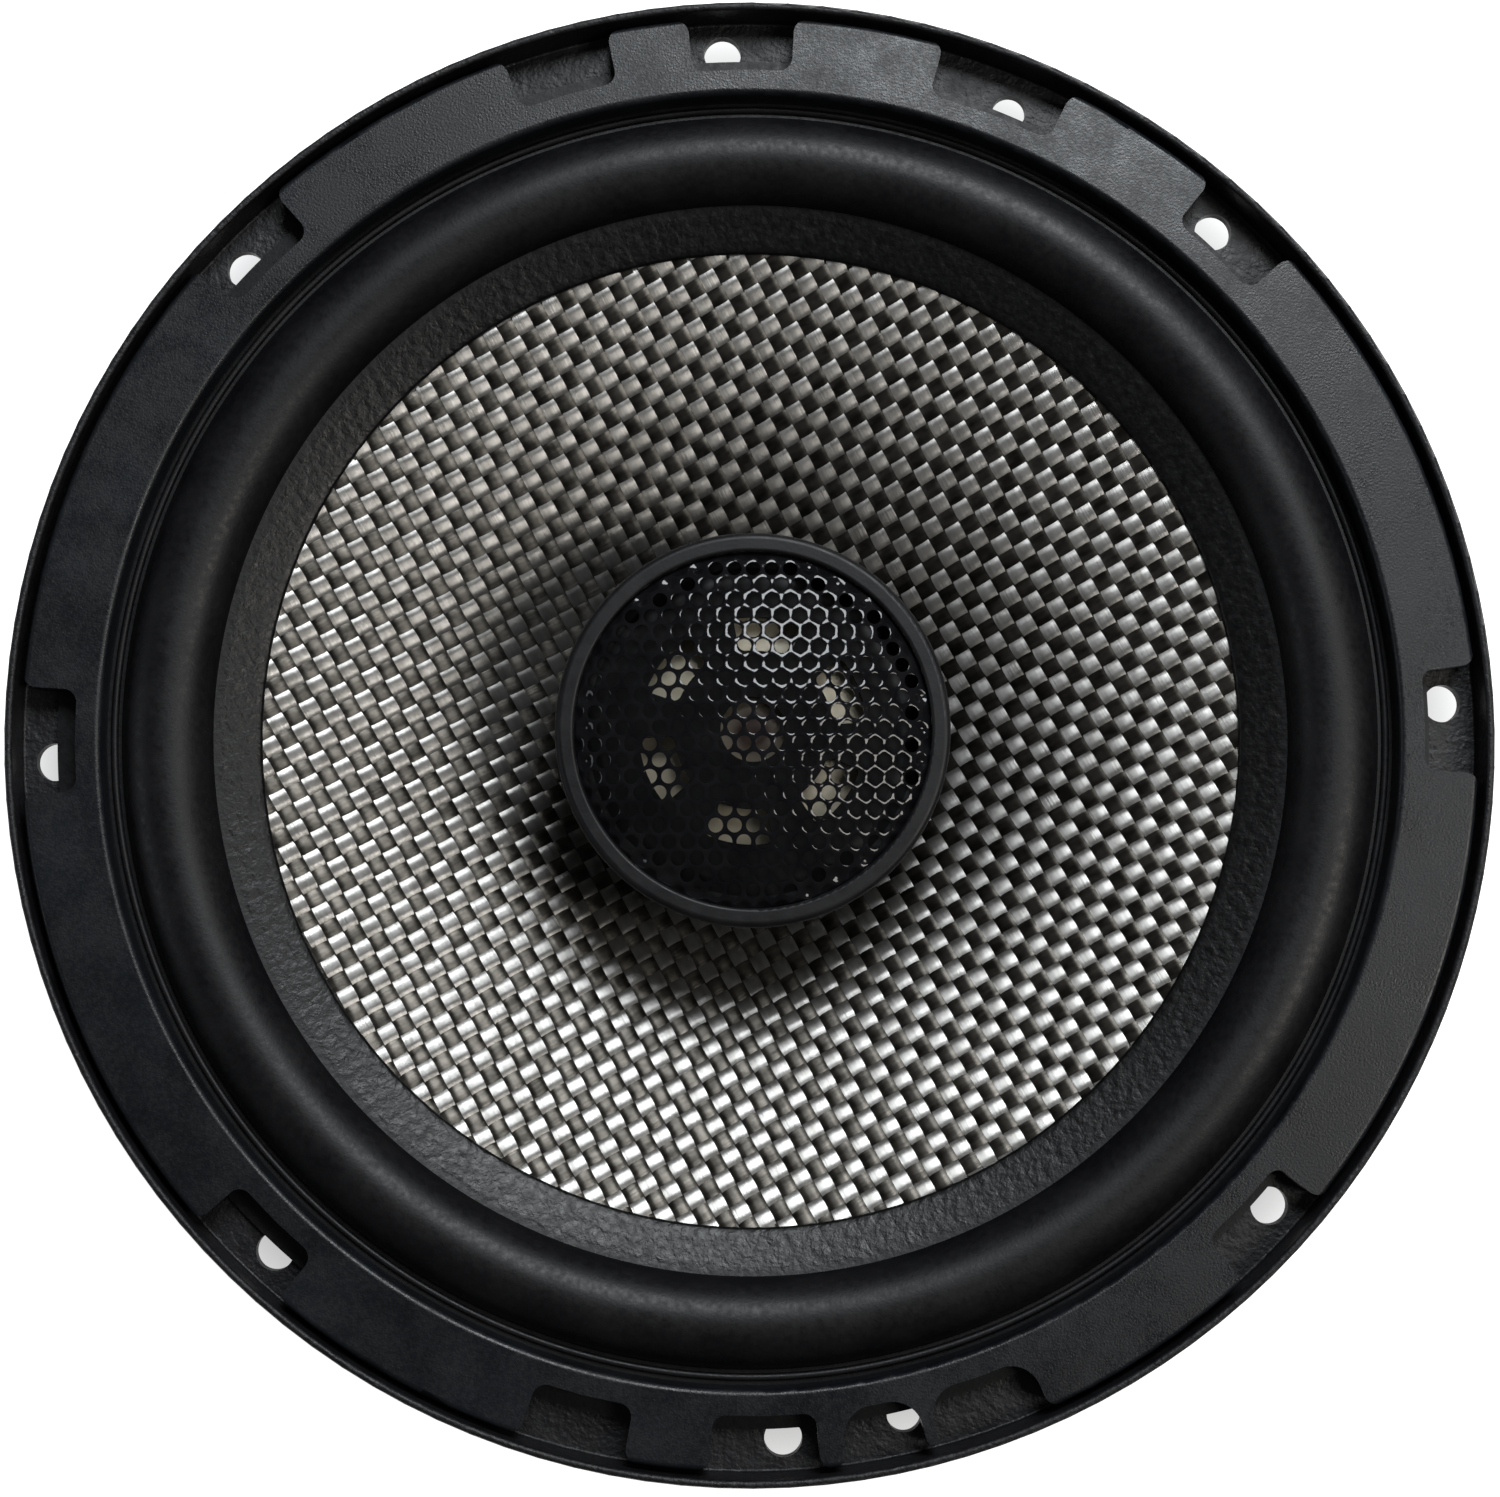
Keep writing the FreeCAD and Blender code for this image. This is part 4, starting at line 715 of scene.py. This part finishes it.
def make_surround(looks):
    """Rubber roll between the flange and the cone, in place of the hidden CAD surround."""
    rubber = looks["surround_rubber"].material
    piece = lathe("rubber_roll", surround_profile(), 320, rubber)
    for vertex in piece.data.vertices:
        if math.hypot(vertex.co.x, vertex.co.y) > (FLANGE_R - 1) * MM:
            vertex.co.x += FLANGE_SHIFT * MM
    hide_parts("surround")
    bend_by_weight(piece)


def make_spider(looks):
    """Corrugated cloth between the ledge and the former, in place of the hidden CAD spider."""
    steps = SPIDER_WAVES * 12
    wave = []
    for step in range(steps + 1):
        part = step / steps
        radius = SPIDER_FROM_R + part * (SPIDER_TO_R - SPIDER_FROM_R)
        swing = math.cos(2 * math.pi * SPIDER_WAVES * part)
        wave.append((radius, LEDGE_Z + SPIDER_WAVE * (1 - swing) / 2))
    top = [(radius, height + SPIDER_WALL) for radius, height in wave]
    collar_r = FORMER_R + 0.6
    collar = [(collar_r, LEDGE_Z + SPIDER_WALL), (collar_r, LEDGE_Z + SPIDER_WALL + 1.2),
              (FORMER_R, LEDGE_Z + SPIDER_WALL + 1.2), (FORMER_R, LEDGE_Z)]
    edge = [(SPIDER_R, LEDGE_Z), (SPIDER_R, LEDGE_Z + SPIDER_WALL)]
    profile = collar + wave + edge + top[::-1]
    piece = lathe("corrugated_spider", profile, 200, looks["spider_cloth"].material)
    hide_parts("spider")
    bend_by_weight(piece)


def route_points(name, route):
    """Points along the smooth curve of a route."""
    curve = bpy.data.curves.new(name, "CURVE")
    curve.dimensions = "3D"
    curve.resolution_u = 12
    spline = curve.splines.new("NURBS")
    spline.points.add(len(route) - 1)
    for point, place in zip(spline.points, route):
        point.co = (*place, 1)
    spline.order_u = 3
    spline.use_endpoint_u = True
    carrier = bpy.data.objects.new(name, curve)
    bpy.context.scene.collection.objects.link(carrier)
    bpy.context.view_layer.update()
    mesh = bpy.data.meshes.new_from_object(carrier)
    points = [vertex.co.copy() for vertex in mesh.vertices]
    bpy.data.objects.remove(carrier)
    bpy.data.curves.remove(curve)
    bpy.data.meshes.remove(mesh)
    return points


def twisted_lead(name, route, looks, node):
    """Two twisted tinsel strands along a route, in place of the hidden CAD lead."""
    centre = [Vector(point) for point in route_points(name + "_route", route)]
    points = []
    faces = []
    lengths = [0.0]
    for before, after in zip(centre, centre[1:]):
        lengths.append(lengths[-1] + (after - before).length)
    for strand in range(2):
        first = len(points)
        for index, point in enumerate(centre):
            ahead = centre[min(index + 1, len(centre) - 1)] - centre[max(index - 1, 0)]
            ahead.normalize()
            sideways = Vector((1, 0, 0))
            upwards = ahead.cross(sideways)
            twist = lengths[index] * 2 * math.pi / STRAND_TURN + strand * math.pi
            strand_centre = point + (sideways * math.cos(twist) + upwards * math.sin(twist)) * STRAND_R
            for side in range(STRAND_SIDES):
                angle = 2 * math.pi * side / STRAND_SIDES
                outward = sideways * math.cos(angle) + upwards * math.sin(angle)
                points.append(strand_centre + outward * STRAND_R)
        for index in range(len(centre) - 1):
            here = first + index * STRAND_SIDES
            there = here + STRAND_SIDES
            for side in range(STRAND_SIDES):
                following = (side + 1) % STRAND_SIDES
                faces.append((here + side, here + following, there + following, there + side))
    piece = new_piece(name, points, faces, looks["tinsel_braid"].material)
    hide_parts(node)
    bend_by_weight(piece)


def make_tinsel_leads(looks):
    """Both flexible leads."""
    for side, pole in ((1, "positive"), (-1, "negative")):
        route = [(side * TERMINAL_X, y, z) for y, z in TINSEL_ROUTE]
        twisted_lead("twisted_tinsel_" + pole, route, looks, "tinsel_lead_" + pole)


def make_tweeter_roll(looks):
    """Thin half roll around the tweeter's dome."""
    inner_r = DOME_ROLL_INNER_R
    outer_r = DOME_ROLL_OUTER_R
    wall = DOME_ROLL_WALL
    front = arc_through((inner_r, 1.4), (14.4, 2.4), (outer_r, 1.5), 12)
    back = arc_through((outer_r - wall, 1.5 - wall), (14.3, 2.4 - wall), (inner_r, 1.4 - wall), 12)
    profile = front + [(DOME_ROLL_FLANGE_R, 1.5), (DOME_ROLL_FLANGE_R, 1.5 - wall)] + back
    piece = lathe("tweeter_half_roll", profile, 160, looks["dome_roll"].material)
    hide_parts("tweeter_surround")
    bend_by_weight(piece)


# Studio

def make_floor():
    """Plain white glowing floor, with a painted shadow under the speaker: a darker colour and a weaker
    glow there.
    """
    look = Look("studio_floor", (0.9, 0.9, 0.9), 0.7, Emission_Color=(1, 1, 1, 1), Emission_Strength=1.0)
    paper = look.blend(look.noise(60, 2), (0.88, 0.88, 0.88), (0.93, 0.93, 0.93))
    # Painted shadow: 0 under the speaker, rising steeply to 1 at its edge; it darkens the floor's colour
    # and dims its glow.
    edge = look.span(look.radius(), 0, PAINTED_SHADOW_R * MM, 0, 1)
    light = look.math("POWER", edge, 20)
    look.color(look.blend(light, (0.2, 0.2, 0.2), paper))
    look.feed(look.shader.inputs["Emission Strength"], look.span(light, 0, 1, 0.40, 1.0))
    half = FLOOR_HALF
    corners = [(-half, -half, 0), (half, -half, 0), (half, half, 0), (-half, half, 0)]
    floor = new_piece("studio_floor", corners, [(0, 1, 2, 3)], look.material)
    floor.location = (PAINTED_SHADOW_CENTRE[0] * MM, PAINTED_SHADOW_CENTRE[1] * MM, FLOOR_Z * MM)


def make_light(name, place, size, power, color):
    """A soft light aimed at the speaker."""
    data = bpy.data.lights.new(name, "AREA")
    data.shape = "ELLIPSE"
    data.size, data.size_y = size
    data.energy = power
    data.color = color
    light = bpy.data.objects.new(name, data)
    light.location = place
    light.rotation_euler = (-Vector(place)).to_track_quat("-Z", "Y").to_euler()
    bpy.context.scene.collection.objects.link(light)


def make_studio():
    """Soft lights from the top and the right, a weak fill, and a grey surround."""
    for light in LIGHTS:
        make_light(*light)
    world = bpy.data.worlds.new("studio")
    world.use_nodes = True
    world.node_tree.nodes["Background"].inputs["Color"].default_value = (1, 1, 1, 1)
    world.node_tree.nodes["Background"].inputs["Strength"].default_value = SURROUND_LIGHT
    bpy.context.scene.world = world
    bpy.context.scene.view_settings.view_transform = "Standard"


def make_camera():
    """Camera almost on the axis, with +Y upwards in the picture."""
    data = bpy.data.cameras.new("camera")
    data.sensor_width = 36
    data.lens = data.sensor_width / 2 * VIEW_DISTANCE / HALF_VIEW
    camera = bpy.data.objects.new("camera", data)
    target = Vector((*VIEW_AIM, LIP_TOP))
    lean_x, lean_y = (math.tan(math.radians(angle)) * VIEW_DISTANCE for angle in VIEW_LEAN)
    place = target + Vector((lean_x, lean_y, VIEW_DISTANCE))
    camera.location = place * MM
    backward = (place - target).normalized()
    right = Vector((0, 1, 0)).cross(backward).normalized()
    upward = backward.cross(right)
    camera.matrix_world = Matrix((
        (right.x, upward.x, backward.x, place.x * MM),
        (right.y, upward.y, backward.y, place.y * MM),
        (right.z, upward.z, backward.z, place.z * MM),
        (0, 0, 0, 1),
    ))
    bpy.context.scene.collection.objects.link(camera)
    bpy.context.scene.camera = camera


looks = all_looks()
dress_cad_nodes(looks)
make_weave()
make_surround(looks)
make_spider(looks)
make_tinsel_leads(looks)
make_tweeter_roll(looks)
make_floor()
make_studio()
make_camera()
